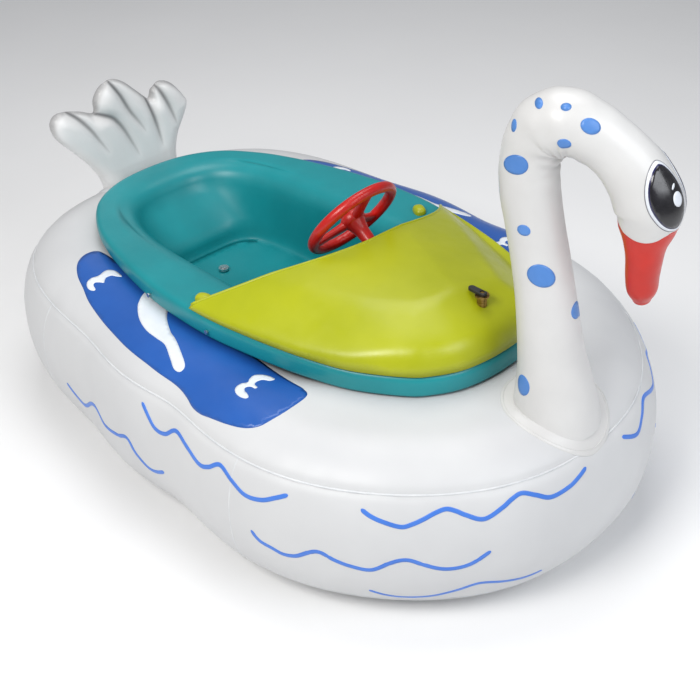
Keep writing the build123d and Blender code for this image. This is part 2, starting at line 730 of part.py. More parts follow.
# ---------------------------------------------------------------------- rudder
with BuildPart() as rudder_trunk:
    with BuildSketch(Plane.XY.offset(222)):
        with Locations((RUD_X, 0)):
            Circle(14)
    extrude(amount=SEAT_Z - TUB_WALL - 222)
    with BuildSketch(Plane.XY.offset(SEAT_Z - TUB_WALL - 6)):
        with Locations((RUD_X, 0)):
            Circle(32)
    extrude(amount=6)
    with BuildSketch(Plane.XY.offset(222)):
        with Locations((RUD_X, 0)):
            Circle(8 + RUN)
    extrude(amount=60, mode=Mode.SUBTRACT)
rudder_trunk.part.label = "rudder_trunk"
export_step(rudder_trunk.part, "parts/rudder_trunk.step")

with BuildPart() as rudder_stock:
    with BuildSketch(Plane.XY.offset(40)):
        with Locations((RUD_X, 0)):
            Circle(8)
    extrude(amount=245)
rudder_stock.part.label = "rudder_stock"
export_step(rudder_stock.part, "parts/rudder_stock.step")

with BuildPart() as stock_collar:
    with BuildSketch(Plane.XY.offset(SEAT_Z + 0.6)):
        with Locations((RUD_X, 0)):
            Circle(15)
            Circle(8, mode=Mode.SUBTRACT)
    extrude(amount=7)
stock_collar.part.label = "stock_collar"
export_step(stock_collar.part, "parts/stock_collar.step")

with BuildPart() as rudder_arm:
    with BuildSketch(Plane.XY.offset(195)):
        with Locations((RUD_X, 0)):
            Circle(16)
        with Locations((RUD_X, RUD_ARM / 2)):
            Rectangle(16, RUD_ARM)
        with Locations((RUD_X, RUD_ARM)):
            Circle(8)
        with Locations((RUD_X, 0)):
            Circle(8, mode=Mode.SUBTRACT)
        with Locations((RUD_X, RUD_ARM)):
            Circle(3, mode=Mode.SUBTRACT)
    extrude(amount=10)
rudder_arm.part.label = "rudder_arm"
export_step(rudder_arm.part, "parts/rudder_arm.step")

with BuildPart() as rudder_pin:
    with BuildSketch(Plane.XY.offset(195)):
        with Locations((RUD_X, RUD_ARM)):
            Circle(3)
    extrude(amount=26)
rudder_pin.part.label = "rudder_pin"
export_step(rudder_pin.part, "parts/rudder_pin.step")

with BuildPart() as rudder_blade:
    with BuildSketch(back_plane.offset(-4)):
        with BuildLine():
            Polyline((RUD_X + 26, 172), (RUD_X + 26, 50), (RUD_X + 4, 26), (RUD_X - 88, 26), (RUD_X - 96, 60),
                     (RUD_X - 80, 150), (RUD_X - 60, 172), close=True)
        make_face()
    extrude(amount=8)
    with BuildSketch(Plane.XY.offset(34)):
        with Locations((RUD_X, 0)):
            Circle(12)
    extrude(amount=138)
    with BuildSketch(Plane.XY.offset(40)):
        with Locations((RUD_X, 0)):
            Circle(8)
    extrude(amount=160, mode=Mode.SUBTRACT)
rudder_blade.part.label = "rudder_blade"
export_step(rudder_blade.part, "parts/rudder_blade.step")

# ------------------------------------------------------------------ pedal drive
side = Plane(origin=(CRANK_X, 0, CRANK_Z), x_dir=(1, 0, 0), z_dir=(0, -1, 0))


def side_plane(y):
    """Plane across the crank axis at width y, with its normal towards port."""
    return Plane(origin=(CRANK_X, y, CRANK_Z), x_dir=(-1, 0, 0), z_dir=(0, 1, 0))


with BuildPart() as crank_shaft:
    with BuildSketch(side_plane(-105)):
        Circle(SHAFT_R)
    extrude(amount=210)
crank_shaft.part.label = "crank_shaft"
export_step(crank_shaft.part, "parts/crank_shaft.step")

bearings, collars, screws = [], [], []
for s in (1, -1):
    with BuildPart() as bearing:
        with BuildSketch(side_plane(80 if s > 0 else -90)):
            Circle(26)
            Circle(SHAFT_R + RUN, mode=Mode.SUBTRACT)
            with PolarLocations(20, 4, start_angle=45):
                Circle(2.6, mode=Mode.SUBTRACT)
        extrude(amount=10)
    bearings.append(bearing.part)
    with BuildPart() as collar:
        with BuildSketch(side_plane(62 if s > 0 else -74)):
            Circle(18)
            Circle(SHAFT_R, mode=Mode.SUBTRACT)
        extrude(amount=12)
    collars.append(collar.part)
    for a in (45, 135, 225, 315):
        dx, dz = 20 * math.cos(math.radians(a)), 20 * math.sin(math.radians(a))
        with BuildPart() as screw:
            with BuildSketch(Plane(origin=(CRANK_X + dx, s * 80.2, CRANK_Z + dz), x_dir=(s, 0, 0) if s < 0 else (-1, 0, 0),
                                   z_dir=(0, s, 0))):
                Circle(2.5)
            extrude(amount=9.8)
            with BuildSketch(Plane(origin=(CRANK_X + dx, s * 90, CRANK_Z + dz), x_dir=(-1, 0, 0), z_dir=(0, s, 0))):
                Circle(3.6)
            extrude(amount=1.4)
        screws.append(screw.part)
crank_bearings = group("crank_bearings", bearings)
export_step(crank_bearings, "parts/crank_bearings.step")
shaft_collars = group("shaft_collars", collars)
export_step(shaft_collars, "parts/shaft_collars.step")
bearing_screws = group("bearing_screws", screws)
export_step(bearing_screws, "parts/bearing_screws.step")

ARM_T = 10.0
ARM_Y = 93.0


def crank_arm(s):
    """Left arm points up at rest, right arm points down."""
    with BuildPart() as arm:
        with BuildSketch(side_plane(ARM_Y if s > 0 else -ARM_Y - ARM_T)):
            Circle(17)
            with Locations((0, s * CRANK_THROW / 2)):
                Rectangle(20, CRANK_THROW)
            with Locations((0, s * CRANK_THROW)):
                Circle(13)
            Circle(SHAFT_R, mode=Mode.SUBTRACT)
            with Locations((0, s * CRANK_THROW)):
                Circle(6, mode=Mode.SUBTRACT)
        extrude(amount=ARM_T)
    return arm.part


crank_arm_left = crank_arm(1)
crank_arm_left.label = "crank_arm_left"
export_step(crank_arm_left, "parts/crank_arm_left.step")
crank_arm_right = crank_arm(-1)
crank_arm_right.label = "crank_arm_right"
export_step(crank_arm_right, "parts/crank_arm_right.step")

spindles = []
for s in (1, -1):
    with BuildPart() as spindle:
        with BuildSketch(Plane(origin=(CRANK_X, s * ARM_Y, CRANK_Z + s * CRANK_THROW), x_dir=(-1, 0, 0), z_dir=(0, s, 0))):
            Circle(6)
        extrude(amount=PEDAL_Y1 + 4 - ARM_Y)
        with BuildSketch(Plane(origin=(CRANK_X, s * (PEDAL_Y1 + 0.8), CRANK_Z + s * CRANK_THROW), x_dir=(-1, 0, 0),
                               z_dir=(0, s, 0))):
            Circle(9)
        extrude(amount=4)
    spindles.append(spindle.part)
pedal_spindles = group("pedal_spindles", spindles)
export_step(pedal_spindles, "parts/pedal_spindles.step")


def pedal(s):
    zc = CRANK_Z + s * CRANK_THROW
    with BuildPart() as block:
        with BuildSketch(Plane(origin=(CRANK_X, s * PEDAL_Y0, zc), x_dir=(-1, 0, 0), z_dir=(0, s, 0))):
            RectangleRounded(78, 22, 6)
            Circle(6 + RUN, mode=Mode.SUBTRACT)
        extrude(amount=PEDAL_Y1 - PEDAL_Y0)
        # tread grooves
        for zt in (11, -11):
            with BuildSketch(Plane.XY.offset(zc + zt - (2 if zt > 0 else 0))):
                with GridLocations(14, 0, 4, 1):
                    with Locations((CRANK_X, s * (PEDAL_Y0 + PEDAL_Y1) / 2)):
                        Rectangle(4, 64)
            extrude(amount=2, mode=Mode.SUBTRACT)
    return block.part


pedal_left = pedal(1)
pedal_left.label = "pedal_left"
export_step(pedal_left, "parts/pedal_left.step")
pedal_right = pedal(-1)
pedal_right.label = "pedal_right"
export_step(pedal_right, "parts/pedal_right.step")

with BuildPart() as paddle_wheel:
    with BuildSketch(side_plane(-61)):
        Circle(20)
    extrude(amount=122)
    with BuildSketch(side_plane(-60)):
        with PolarLocations(0, 6, start_angle=30):
            with Locations(((PADDLE_R + 12) / 2, 0)):
                Rectangle(PADDLE_R - 12, 5)
    extrude(amount=120)
    with BuildSketch(side_plane(-2.5)):
        Circle(120)
    extrude(amount=5)
    with BuildSketch(side_plane(-70)):
        Circle(SHAFT_R)
    extrude(amount=140, mode=Mode.SUBTRACT)
paddle_wheel.part.label = "paddle_wheel"
export_step(paddle_wheel.part, "parts/paddle_wheel.step")

# ---------------------------------------------------------- valves and fasteners
# inflation valves on the ring's inner shoulder at the stern, and on neck and tail


def valve(plane):
    with BuildPart() as body:
        with BuildSketch(plane):
            Circle(17)
        extrude(amount=4)
        with BuildSketch(plane.offset(4)):
            Circle(10)
        extrude(amount=7)
    with BuildPart() as cap:
        with BuildSketch(plane.offset(11.3)):
            Circle(12)
        extrude(amount=5)
        fillet(cap.faces().sort_by(Axis(plane.origin, plane.z_dir))[-1].edges(), radius=1.5)
    return body.part, cap.part


vplanes = [
    Plane(origin=(-100, RING_HALF_W + 0.3, TUBE_Z0 + TUBE_H / 2), x_dir=(1, 0, 0), z_dir=(0, 1, 0)),
    Plane(origin=(TAIL_X0 - 0.1, 0, 520), x_dir=(0, 1, 0), z_dir=(-1, 0, 0)),
]
bodies, caps = zip(*[valve(p) for p in vplanes])
valve_bodies = group("valve_bodies", bodies)
export_step(valve_bodies, "parts/valve_bodies.step")
valve_caps = group("valve_caps", caps)
export_step(valve_caps, "parts/valve_caps.step")

cscrews = []
for x in (-220, 20):
    for s in (-1, 1):
        with BuildPart() as cs:
            with BuildSketch(Plane(origin=(x, s * 380, 478), x_dir=(1, 0, 0), z_dir=(0, s, 0))):
                Circle(2.5)
            extrude(amount=26.2)
            with BuildSketch(Plane(origin=(x, s * 406.0, 478), x_dir=(1, 0, 0), z_dir=(0, s, 0))):
                Circle(6)
            extrude(amount=2.5)
        cscrews.append(cs.part)
coaming_screws = group("coaming_screws", cscrews)
export_step(coaming_screws, "parts/coaming_screws.step")
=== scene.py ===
import math
import json

import bmesh
import bpy
import numpy as np
from mathutils import Matrix, Vector
from mathutils.geometry import delaunay_2d_cdt


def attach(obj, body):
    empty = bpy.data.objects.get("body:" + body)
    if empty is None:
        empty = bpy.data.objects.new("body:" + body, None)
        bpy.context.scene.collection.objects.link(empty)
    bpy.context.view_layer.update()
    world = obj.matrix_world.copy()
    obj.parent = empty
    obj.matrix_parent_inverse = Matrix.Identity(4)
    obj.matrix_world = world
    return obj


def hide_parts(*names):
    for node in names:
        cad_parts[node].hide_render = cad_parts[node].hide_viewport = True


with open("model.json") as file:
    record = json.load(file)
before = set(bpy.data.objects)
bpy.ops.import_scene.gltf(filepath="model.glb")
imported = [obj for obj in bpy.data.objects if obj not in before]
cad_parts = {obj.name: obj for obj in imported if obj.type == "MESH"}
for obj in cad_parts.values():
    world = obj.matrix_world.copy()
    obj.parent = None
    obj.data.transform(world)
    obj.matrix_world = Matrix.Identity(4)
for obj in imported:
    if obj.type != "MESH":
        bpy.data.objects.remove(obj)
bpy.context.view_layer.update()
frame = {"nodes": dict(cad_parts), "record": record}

# ---- geometry of the visible skins (metres) -------------------------------
TW, TH, TZ, TM, TI = 0.381, 0.448, 0.003, 2.3, 4.6
PLAN_C = [-0.0107, 0.0138, -0.0225, -0.0096, -0.0016, -0.0059, 0.0225]
PLAN_A, PLAN_B, PLAN_N = 0.95 - TW / 2, 0.6378 - TW / 2, 2.6


def plan_mid(th):
    """Centreline of the ring in plan, th measured from the bow."""
    th = np.asarray(th, float)
    c, s = np.cos(th), np.sin(th)
    r = (np.abs(c / PLAN_A) ** PLAN_N + np.abs(s / PLAN_B) ** PLAN_N) ** (-1 / PLAN_N)
    for k, v in enumerate(PLAN_C, 1):
        r = r * (1 + v * np.cos(k * th))
    return np.stack([r * c, r * s], -1)


def plan_normal(th, e=1e-3):
    d = plan_mid(th + e) - plan_mid(th - e)
    n = np.stack([d[..., 1], -d[..., 0]], -1)
    return n / np.linalg.norm(n, axis=-1, keepdims=True)


def bow_weight(th):
    w = np.clip((1.30 - np.abs((np.asarray(th) + math.pi) % (2 * math.pi) - math.pi)) / 0.55, 0, 1)
    return w * w * (3 - 2 * w)


def tube_point(th, ph, off=0.0):
    """Point on the ring's skin: ph = 0 is the outermost line, pi/2 the top."""
    th, ph = np.broadcast_arrays(np.asarray(th, float), np.asarray(ph, float))
    p, n = plan_mid(th), plan_normal(th)
    c, s = np.cos(ph), np.sin(ph)
    k = 2 / TM
    u = TW / 2 * np.sign(c) * np.abs(c) ** k
    z = TZ + TH / 2 + TH / 2 * np.sign(s) * np.abs(s) ** k
    # the ring bulges up under the rim of the tub
    cu = np.clip(-np.sign(c) * np.abs(c) ** k, 0, 1)
    full = TZ + TH / 2 + TH / 2 * np.clip(1 - cu ** TI, 0, 1) ** (1 / TI) + 0.010 * (4 * cu * cu * (1 - cu * cu)) ** 2
    wb = bow_weight(th)
    z = np.where((s > 0) & (c < 0), z + (full - z) * wb, z)
    if np.any(off):
        gu = np.sign(c) * np.abs(c) ** (k * (TM - 1)) / (TW / 2)
        gz = np.sign(s) * np.abs(s) ** (k * (TM - 1)) / (TH / 2)
        g = np.sqrt(gu ** 2 + gz ** 2)
        u, z = u + off * gu / g, z + off * gz / g
    return np.stack([p[..., 0] + n[..., 0] * u, p[..., 1] + n[..., 1] * u, z], -1)


_TT = np.linspace(0, 2 * math.pi, 1441)[:-1]
_TP = plan_mid(_TT)


def tube_top(x, y):
    """Height of the ring's skin above a plan point."""
    q = np.stack([np.asarray(x, float), np.asarray(y, float)], -1)
    dd = ((q[..., None, :] - _TP) ** 2).sum(-1)
    i = dd.argmin(-1)
    d = np.sqrt(dd.min(-1)) / (TW / 2)
    inner = (q ** 2).sum(-1) < (_TP[i] ** 2).sum(-1)
    zo = TZ + TH / 2 + TH / 2 * np.clip(1 - d ** TM, 0, None) ** (1 / TM)
    zi = TZ + TH / 2 + TH / 2 * np.clip(1 - d ** TI, 0, None) ** (1 / TI) + 0.010 * (4 * d * d * np.clip(1 - d * d, 0, 1)) ** 2
    return np.where(inner, zo + (zi - zo) * bow_weight(_TT[i]), zo)


# neck, head and beak: centreline stations (x, y, z, radius)
LIMB = np.array([
    (0.781, 0.000, 0.405, 0.103), (0.780, 0.000, 0.435, 0.099), (0.776, 0.000, 0.466, 0.094),
    (0.768, 0.000, 0.520, 0.084), (0.756, 0.000, 0.580, 0.0745), (0.733, 0.000, 0.701, 0.0665),
    (0.712, 0.000, 0.794, 0.0635), (0.689, 0.000, 0.880, 0.0625), (0.671, 0.000, 0.958, 0.064),
    (0.668, 0.0026, 1.030, 0.0635), (0.692, 0.0120, 1.090, 0.0700), (0.735, 0.0230, 1.1125, 0.0700),
    (0.777, 0.0420, 1.1020, 0.0640), (0.825, 0.0700, 1.0660, 0.0605), (0.867, 0.0930, 1.0140, 0.0670),
    (0.894, 0.1050, 0.9570, 0.0715), (0.898, 0.1035, 0.9070, 0.0600), (0.899, 0.1015, 0.8690, 0.0480),
    (0.900, 0.1015, 0.8320, 0.0428), (0.900, 0.1020, 0.7925, 0.0395), (0.902, 0.1040, 0.7570, 0.0355),
    (0.9035, 0.1050, 0.7345, 0.0225)])


def catmull(P, t):
    """Catmull-Rom through the rows of P at parameter t in 0..len-1."""
    t = np.asarray(t, float)
    n = len(P)
    i = np.clip(np.floor(t).astype(int), 0, n - 2)
    f = (t - i)[..., None]
    a, b, c, d = P[np.clip(i - 1, 0, n - 1)], P[i], P[i + 1], P[np.clip(i + 2, 0, n - 1)]
    return 0.5 * ((2 * b) + (c - a) * f + (2 * a - 5 * b + 4 * c - d) * f ** 2 + (3 * b - a - 3 * c + d) * f ** 3)


YAW = math.radians(25)
_HEADSIDE = np.array([-math.sin(YAW), math.cos(YAW), 0.0])


def limb_frame(t):
    q = catmull(LIMB, t)
    d = catmull(LIMB, np.clip(t + 0.01, 0, len(LIMB) - 1))[..., :3] - catmull(LIMB, np.clip(t - 0.01, 0, len(LIMB) - 1))[..., :3]
    d = d / np.linalg.norm(d, axis=-1, keepdims=True)
    side = _HEADSIDE - d * (d @ _HEADSIDE)[..., None]
    side = side / np.linalg.norm(side, axis=-1, keepdims=True)
    up = np.cross(d, side)
    return q[..., :3], q[..., 3], side, up


def limb_point(t, a, off=0.0):
    """Point on the neck, head or beak: a = 0 is the port side, a = -pi/2 the outside of the bend."""
    t, a = np.broadcast_arrays(np.asarray(t, float), np.asarray(a, float))
    c, r, side, up = limb_frame(t)
    up = -up
    ca, sa = np.cos(a), np.sin(a)
    # the bill is a little flatter than it is wide
    k = np.clip((t - 16.0) / 2.0, 0, 1)
    k = k * k * (3 - 2 * k)
    ry = r * (1 + 0.10 * k)
    rz = r * (1 - 0.10 * k)
    # folds inside the bend of the neck
    w = np.exp(-((t - 10.2) / 1.5) ** 2) * np.clip(sa * 1.25 - 0.1, 0, 1) ** 1.5
    fold = w * (0.0032 * np.cos(2 * math.pi * (t - 10.2) / 0.52 + 0.9 * np.sin(2 * a)) - 0.0015)
    fold = fold + 0.0008 * np.exp(-((t - 10.2) / 2.0) ** 2) * np.cos(2 * math.pi * t / 0.8 + 2 * a)
    return c + side * ((ry + fold + off) * ca)[..., None] + up * ((rz + fold + off) * sa)[..., None]


# ---- mesh helpers ----------------------------------------------------------
def link(obj):
    bpy.context.scene.collection.objects.link(obj)
    return obj


def make(name, verts, faces, mat=None, smooth=True):
    me = bpy.data.meshes.new(name)
    me.from_pydata([tuple(map(float, v)) for v in verts], [], [tuple(int(i) for i in f) for f in faces])
    me.update()
    obj = link(bpy.data.objects.new(name, me))
    if mat is not None:
        me.materials.append(mat)
    for p in me.polygons:
        p.use_smooth = smooth
    return obj


def tidy(obj, merge=2e-5):
    bm = bmesh.new()
    bm.from_mesh(obj.data)
    bmesh.ops.remove_doubles(bm, verts=bm.verts, dist=merge)
    bmesh.ops.dissolve_degenerate(bm, dist=1e-6, edges=bm.edges)
    loose = [v for v in bm.verts if not v.link_faces]
    bmesh.ops.delete(bm, geom=loose, context="VERTS")
    bmesh.ops.recalc_face_normals(bm, faces=bm.faces)
    bm.to_mesh(obj.data)
    bm.free()
    for p in obj.data.polygons:
        p.use_smooth = True
    return obj


def apply_mods(obj):
    dg = bpy.context.evaluated_depsgraph_get()
    me = bpy.data.meshes.new_from_object(obj.evaluated_get(dg))
    old = obj.data
    obj.modifiers.clear()
    obj.data = me
    bpy.data.meshes.remove(old)
    for p in obj.data.polygons:
        p.use_smooth = True
    return obj


def solidify(obj, thick, offset=-1.0):
    m = obj.modifiers.new("wall", "SOLIDIFY")
    m.thickness = thick
    m.offset = offset
    m.use_even_offset = True
    return apply_mods(obj)


def grid_faces(nu, nv, wu=False, wv=False, base=0):
    out = []
    for i in range(nu if wu else nu - 1):
        for j in range(nv if wv else nv - 1):
            a, b = i * nv + j, ((i + 1) % nu) * nv + j
            c, d = ((i + 1) % nu) * nv + (j + 1) % nv, i * nv + (j + 1) % nv
            out.append((base + a, base + b, base + c, base + d))
    return out


class Build:
    """Collects vertices and faces of one piece from several surfaces."""

    def __init__(self):
        self.v, self.f = [], []

    def grid(self, pts, wu=False, wv=False):
        nu, nv = pts.shape[:2]
        b = len(self.v)
        self.v += [tuple(p) for p in pts.reshape(-1, 3)]
        self.f += grid_faces(nu, nv, wu, wv, b)

    def fan(self, ring, centre):
        b = len(self.v)
        self.v += [tuple(p) for p in ring] + [tuple(centre)]
        n = len(ring)
        self.f += [(b + i, b + (i + 1) % n, b + n) for i in range(n)]

    def tris(self, pts, faces):
        b = len(self.v)
        self.v += [tuple(p) for p in pts]
        self.f += [tuple(b + i for i in f) for f in faces]

    def tube(self, pts, radius, n=10, closed=False, flat=1.0, normal=None):
        """Swept round or flattened bead along points."""
        P = np.asarray(pts, float)
        m = len(P)
        if closed:
            T = np.roll(P, -1, 0) - np.roll(P, 1, 0)
        else:
            T = np.gradient(P, axis=0)
        T /= np.linalg.norm(T, axis=1, keepdims=True)
        if normal is None:
            up = np.array([0, 0, 1.0]) if abs(T[0][2]) < 0.9 else np.array([1.0, 0, 0])
            N = []
            for t in T:
                up = up - t * (up @ t)
                up /= np.linalg.norm(up)
                N.append(up)
            N = np.array(N)
        else:
            N = np.asarray(normal, float)
            N = N - T * (N * T).sum(1, keepdims=True)
            N /= np.linalg.norm(N, axis=1, keepdims=True)
        B = np.cross(T, N)
        R = np.broadcast_to(np.asarray(radius, float), (m,))
        a = np.linspace(0, 2 * math.pi, n, endpoint=False)
        ring = P[:, None] + R[:, None, None] * (np.cos(a)[None, :, None] * B[:, None] + flat * np.sin(a)[None, :, None] * N[:, None])
        self.grid(ring, wu=closed, wv=True)
        if not closed:
            self.fan(ring[0], P[0])
            self.fan(ring[-1], P[-1])

    def obj(self, name, mat, merge=2e-5):
        return tidy(make(name, self.v, self.f, mat), merge)


def smooth_loop(pts, n=8):
    P = np.asarray(pts, float)
    m = len(P)
    t = np.arange(m * n) / n
    i = t.astype(int)
    f = (t - i)[:, None]
    a, b, c, d = P[(i - 1) % m], P[i % m], P[(i + 1) % m], P[(i + 2) % m]
    return 0.5 * (2 * b + (c - a) * f + (2 * a - 5 * b + 4 * c - d) * f ** 2 + (3 * b - a - 3 * c + d) * f ** 3)


def smooth_line(pts, n=10):
    P = np.asarray(pts, float)
    return catmull(P, np.linspace(0, len(P) - 1, (len(P) - 1) * n + 1))


def inside(poly, q):
    """Even-odd test of points q against a closed polygon."""
    x, y = q[:, 0], q[:, 1]
    r = np.zeros(len(q), bool)
    px, py = poly[:, 0], poly[:, 1]
    for i in range(len(poly)):
        j = i - 1
        c = (py[i] > y) != (py[j] > y)
        with np.errstate(divide="ignore", invalid="ignore"):
            xx = (px[j] - px[i]) * (y - py[i]) / (py[j] - py[i]) + px[i]
        r ^= c & (x < xx)
    return r


def seg_dist(q, a, b):
    v = b - a
    t = np.clip(((q - a) @ v) / max(v @ v, 1e-12), 0, 1)
    return np.linalg.norm(a + t[:, None] * v - q, axis=1)


def loop_dist(q, poly):
    d = np.full(len(q), 9e9)
    for i in range(len(poly)):
        d = np.minimum(d, seg_dist(q, poly[i - 1], poly[i]))
    return d


def fill(outline, step, holes=(), extra=None):
    """Triangles inside a plan outline, with interior points on a hexagonal grid."""
    loops = [np.asarray(outline, float)] + [np.asarray(h, float) for h in holes]
    lo, hi = loops[0].min(0), loops[0].max(0)
    xs = np.arange(lo[0], hi[0], step)
    ys = np.arange(lo[1], hi[1], step * 0.866)
    g = np.array([(x + (step / 2 if k % 2 else 0), y) for k, y in enumerate(ys) for x in xs])
    keep = inside(loops[0], g)
    for h in loops[1:]:
        keep &= ~inside(h, g)
    g = g[keep]
    for lp in loops:
        if len(g):
            g = g[loop_dist(g, lp) > step * 0.5]
    if extra is not None and len(extra):
        e = np.asarray(extra, float)
        if len(g):
            dd = np.full(len(g), 9e9)
            for p in e:
                dd = np.minimum(dd, np.linalg.norm(g - p, axis=1))
            g = g[dd > step * 0.45]
        g = np.concatenate([g, e])
    verts, edges = [], []
    for lp in loops:
        b = len(verts)
        verts += [tuple(p) for p in lp]
        edges += [(b + i, b + (i + 1) % len(lp)) for i in range(len(lp))]
    verts += [tuple(p) for p in g]
    vo, eo, fo, *_ = delaunay_2d_cdt([Vector(v) for v in verts], edges, [], 0 if holes else 1, 1e-7)
    V = np.array([tuple(v) for v in vo])
    F = [tuple(f) for f in fo]
    cen = np.array([V[list(f)].mean(0) for f in F])
    k = inside(loops[0], cen)
    for h in loops[1:]:
        k &= ~inside(h, cen)
    return V, [f for f, q in zip(F, k) if q]


# ---- materials ---------------------------------------------------------------
def principled(name):
    m = bpy.data.materials.new(name)
    m.use_nodes = True
    nt = m.node_tree
    b = nt.nodes["Principled BSDF"]
    return m, nt, b


def noise(nt, scale, detail=3.0, rough=0.5, dims="3D"):
    tc = nt.nodes.get("Texture Coordinate") or nt.nodes.new("ShaderNodeTexCoord")
    tc.name = "Texture Coordinate"
    n = nt.nodes.new("ShaderNodeTexNoise")
    n.inputs["Scale"].default_value = scale
    n.inputs["Detail"].default_value = detail
    n.inputs["Roughness"].default_value = rough
    nt.links.new(tc.outputs["Object"], n.inputs["Vector"])
    return n


def ramp(nt, src, stops):
    r = nt.nodes.new("ShaderNodeValToRGB")
    e = r.color_ramp.elements
    e[0].position, e[0].color = stops[0][0], (*stops[0][1], 1)
    e[1].position, e[1].color = stops[-1][0], (*stops[-1][1], 1)
    for p, c in stops[1:-1]:
        k = e.new(p)
        k.color = (*c, 1)
    nt.links.new(src, r.inputs["Fac"])
    return r


def map_range(nt, src, a, b, lo=0.0, hi=1.0):
    m = nt.nodes.new("ShaderNodeMapRange")
    m.inputs["From Min"].default_value = lo
    m.inputs["From Max"].default_value = hi
    m.inputs["To Min"].default_value = a
    m.inputs["To Max"].default_value = b
    nt.links.new(src, m.inputs["Value"])
    return m


def bump(nt, b, layers):
    """layers: (height output, strength, distance)."""
    prev = None
    for out, s, d in layers:
        n = nt.nodes.new("ShaderNodeBump")
        n.inputs["Strength"].default_value = s
        n.inputs["Distance"].default_value = d
        nt.links.new(out, n.inputs["Height"])
        if prev is not None:
            nt.links.new(prev.outputs["Normal"], n.inputs["Normal"])
        prev = n
    nt.links.new(prev.outputs["Normal"], b.inputs["Normal"])


def finish_material(name, dark, light, rough, scale=6.0, grain=900.0, grain_s=0.12, wave_s=0.0, spec=0.5, coat=0.0,
                    metallic=0.0, sss=0.0, grime=None, coat_rough=0.15, ao=None):
    """Coloured surface with broad tone variation, fine grain and slightly uneven gloss."""
    m, nt, b = principled(name)
    n1 = noise(nt, scale, 4.0, 0.55)
    r1 = ramp(nt, n1.outputs["Fac"], [(0.3, dark), (0.7, light)])
    col = r1.outputs["Color"]
    if ao is not None:
        geo = nt.nodes.new("ShaderNodeAttribute")
        geo.attribute_name = "shade"
        mx = nt.nodes.new("ShaderNodeMix")
        mx.data_type = "RGBA"
        nt.links.new(geo.outputs["Fac"], mx.inputs[0])
        nt.links.new(col, mx.inputs[6])
        mx.inputs[7].default_value = (*ao, 1)
        col = mx.outputs[2]
    nt.links.new(col, b.inputs["Base Color"])
    n2 = noise(nt, scale * 5, 5.0, 0.6)
    mr = map_range(nt, n2.outputs["Fac"], rough - 0.06, rough + 0.08, 0.3, 0.7)
    nt.links.new(mr.outputs["Result"], b.inputs["Roughness"])
    n3 = noise(nt, grain, 2.0, 0.5)
    layers = []
    if wave_s:
        n4 = noise(nt, 7.0, 2.0, 0.4)
        layers.append((n4.outputs["Fac"], wave_s, 0.02))
    layers.append((n3.outputs["Fac"], grain_s, 0.0006))
    bump(nt, b, layers)
    b.inputs["Metallic"].default_value = metallic
    b.inputs["Specular IOR Level"].default_value = spec
    b.inputs["Coat Weight"].default_value = coat
    b.inputs["Coat Roughness"].default_value = coat_rough
    if sss:
        b.inputs["Subsurface Weight"].default_value = sss
        b.inputs["Subsurface Radius"].default_value = (0.01, 0.008, 0.006)
        b.inputs["Subsurface Scale"].default_value = 0.4
    return m


def brushed(name, dark, light, rough, axis_scale):
    """Metal with fine drawn lines along one axis."""
    m, nt, b = principled(name)
    tc = nt.nodes.new("ShaderNodeTexCoord")
    tc.name = "Texture Coordinate"
    mp = nt.nodes.new("ShaderNodeMapping")
    mp.inputs["Scale"].default_value = axis_scale
    nt.links.new(tc.outputs["Object"], mp.inputs["Vector"])
    n = nt.nodes.new("ShaderNodeTexNoise")
    n.inputs["Scale"].default_value = 1.0
    n.inputs["Detail"].default_value = 6.0
    nt.links.new(mp.outputs["Vector"], n.inputs["Vector"])
    r = ramp(nt, n.outputs["Fac"], [(0.3, dark), (0.7, light)])
    nt.links.new(r.outputs["Color"], b.inputs["Base Color"])
    mr = map_range(nt, n.outputs["Fac"], rough - 0.1, rough + 0.12, 0.3, 0.7)
    nt.links.new(mr.outputs["Result"], b.inputs["Roughness"])
    bump(nt, b, [(n.outputs["Fac"], 0.15, 0.0004)])
    b.inputs["Metallic"].default_value = 1.0
    return m


M = {}
M["white"] = finish_material("pvc_white_skin", (0.56, 0.565, 0.575), (0.63, 0.635, 0.64), 0.46, 2.2, 700, 0.08, 0.05, 0.45, 0.04, sss=0.0)
M["neck"] = finish_material("pvc_neck_skin", (0.60, 0.595, 0.585), (0.67, 0.665, 0.655), 0.37, 5.0, 800, 0.06, 0.10, 0.5, 0.12)
M["tail"] = finish_material("pvc_tail_skin", (0.76, 0.755, 0.75), (0.82, 0.815, 0.81), 0.38, 5.0, 800, 0.06, 0.10, 0.5, 0.1, ao=(0.055, 0.055, 0.06))
M["seam"] = finish_material("pvc_weld", (0.58, 0.60, 0.62), (0.70, 0.71, 0.72), 0.42, 30, 1200, 0.12)
M["blue"] = finish_material("print_blue", (0.012, 0.085, 0.36), (0.018, 0.108, 0.43), 0.34, 4.0, 900, 0.05, 0.0, 0.5, 0.15)
M["wave"] = finish_material("print_wave_blue", (0.045, 0.17, 0.62), (0.065, 0.21, 0.70), 0.36, 9.0, 900, 0.05)
M["spot"] = finish_material("print_spot_blue", (0.06, 0.195, 0.52), (0.088, 0.24, 0.60), 0.36, 9.0, 900, 0.05)
# pale print colour; the same material also paints the highlight on the eyes
M["pale"] = finish_material("print_white_and_painted_highlight", (0.70, 0.74, 0.80), (0.80, 0.83, 0.87), 0.38, 12.0, 900, 0.05)
M["black"] = finish_material("print_black", (0.004, 0.004, 0.005), (0.009, 0.008, 0.012), 0.22, 12.0, 900, 0.04, 0.0, 0.6, 0.4)
M["navy"] = finish_material("print_navy", (0.010, 0.010, 0.06), (0.016, 0.014, 0.09), 0.24, 12.0, 900, 0.04, 0.0, 0.6, 0.4)
M["line"] = finish_material("print_grey_line", (0.16, 0.16, 0.18), (0.22, 0.22, 0.24), 0.4, 12.0, 900, 0.05)
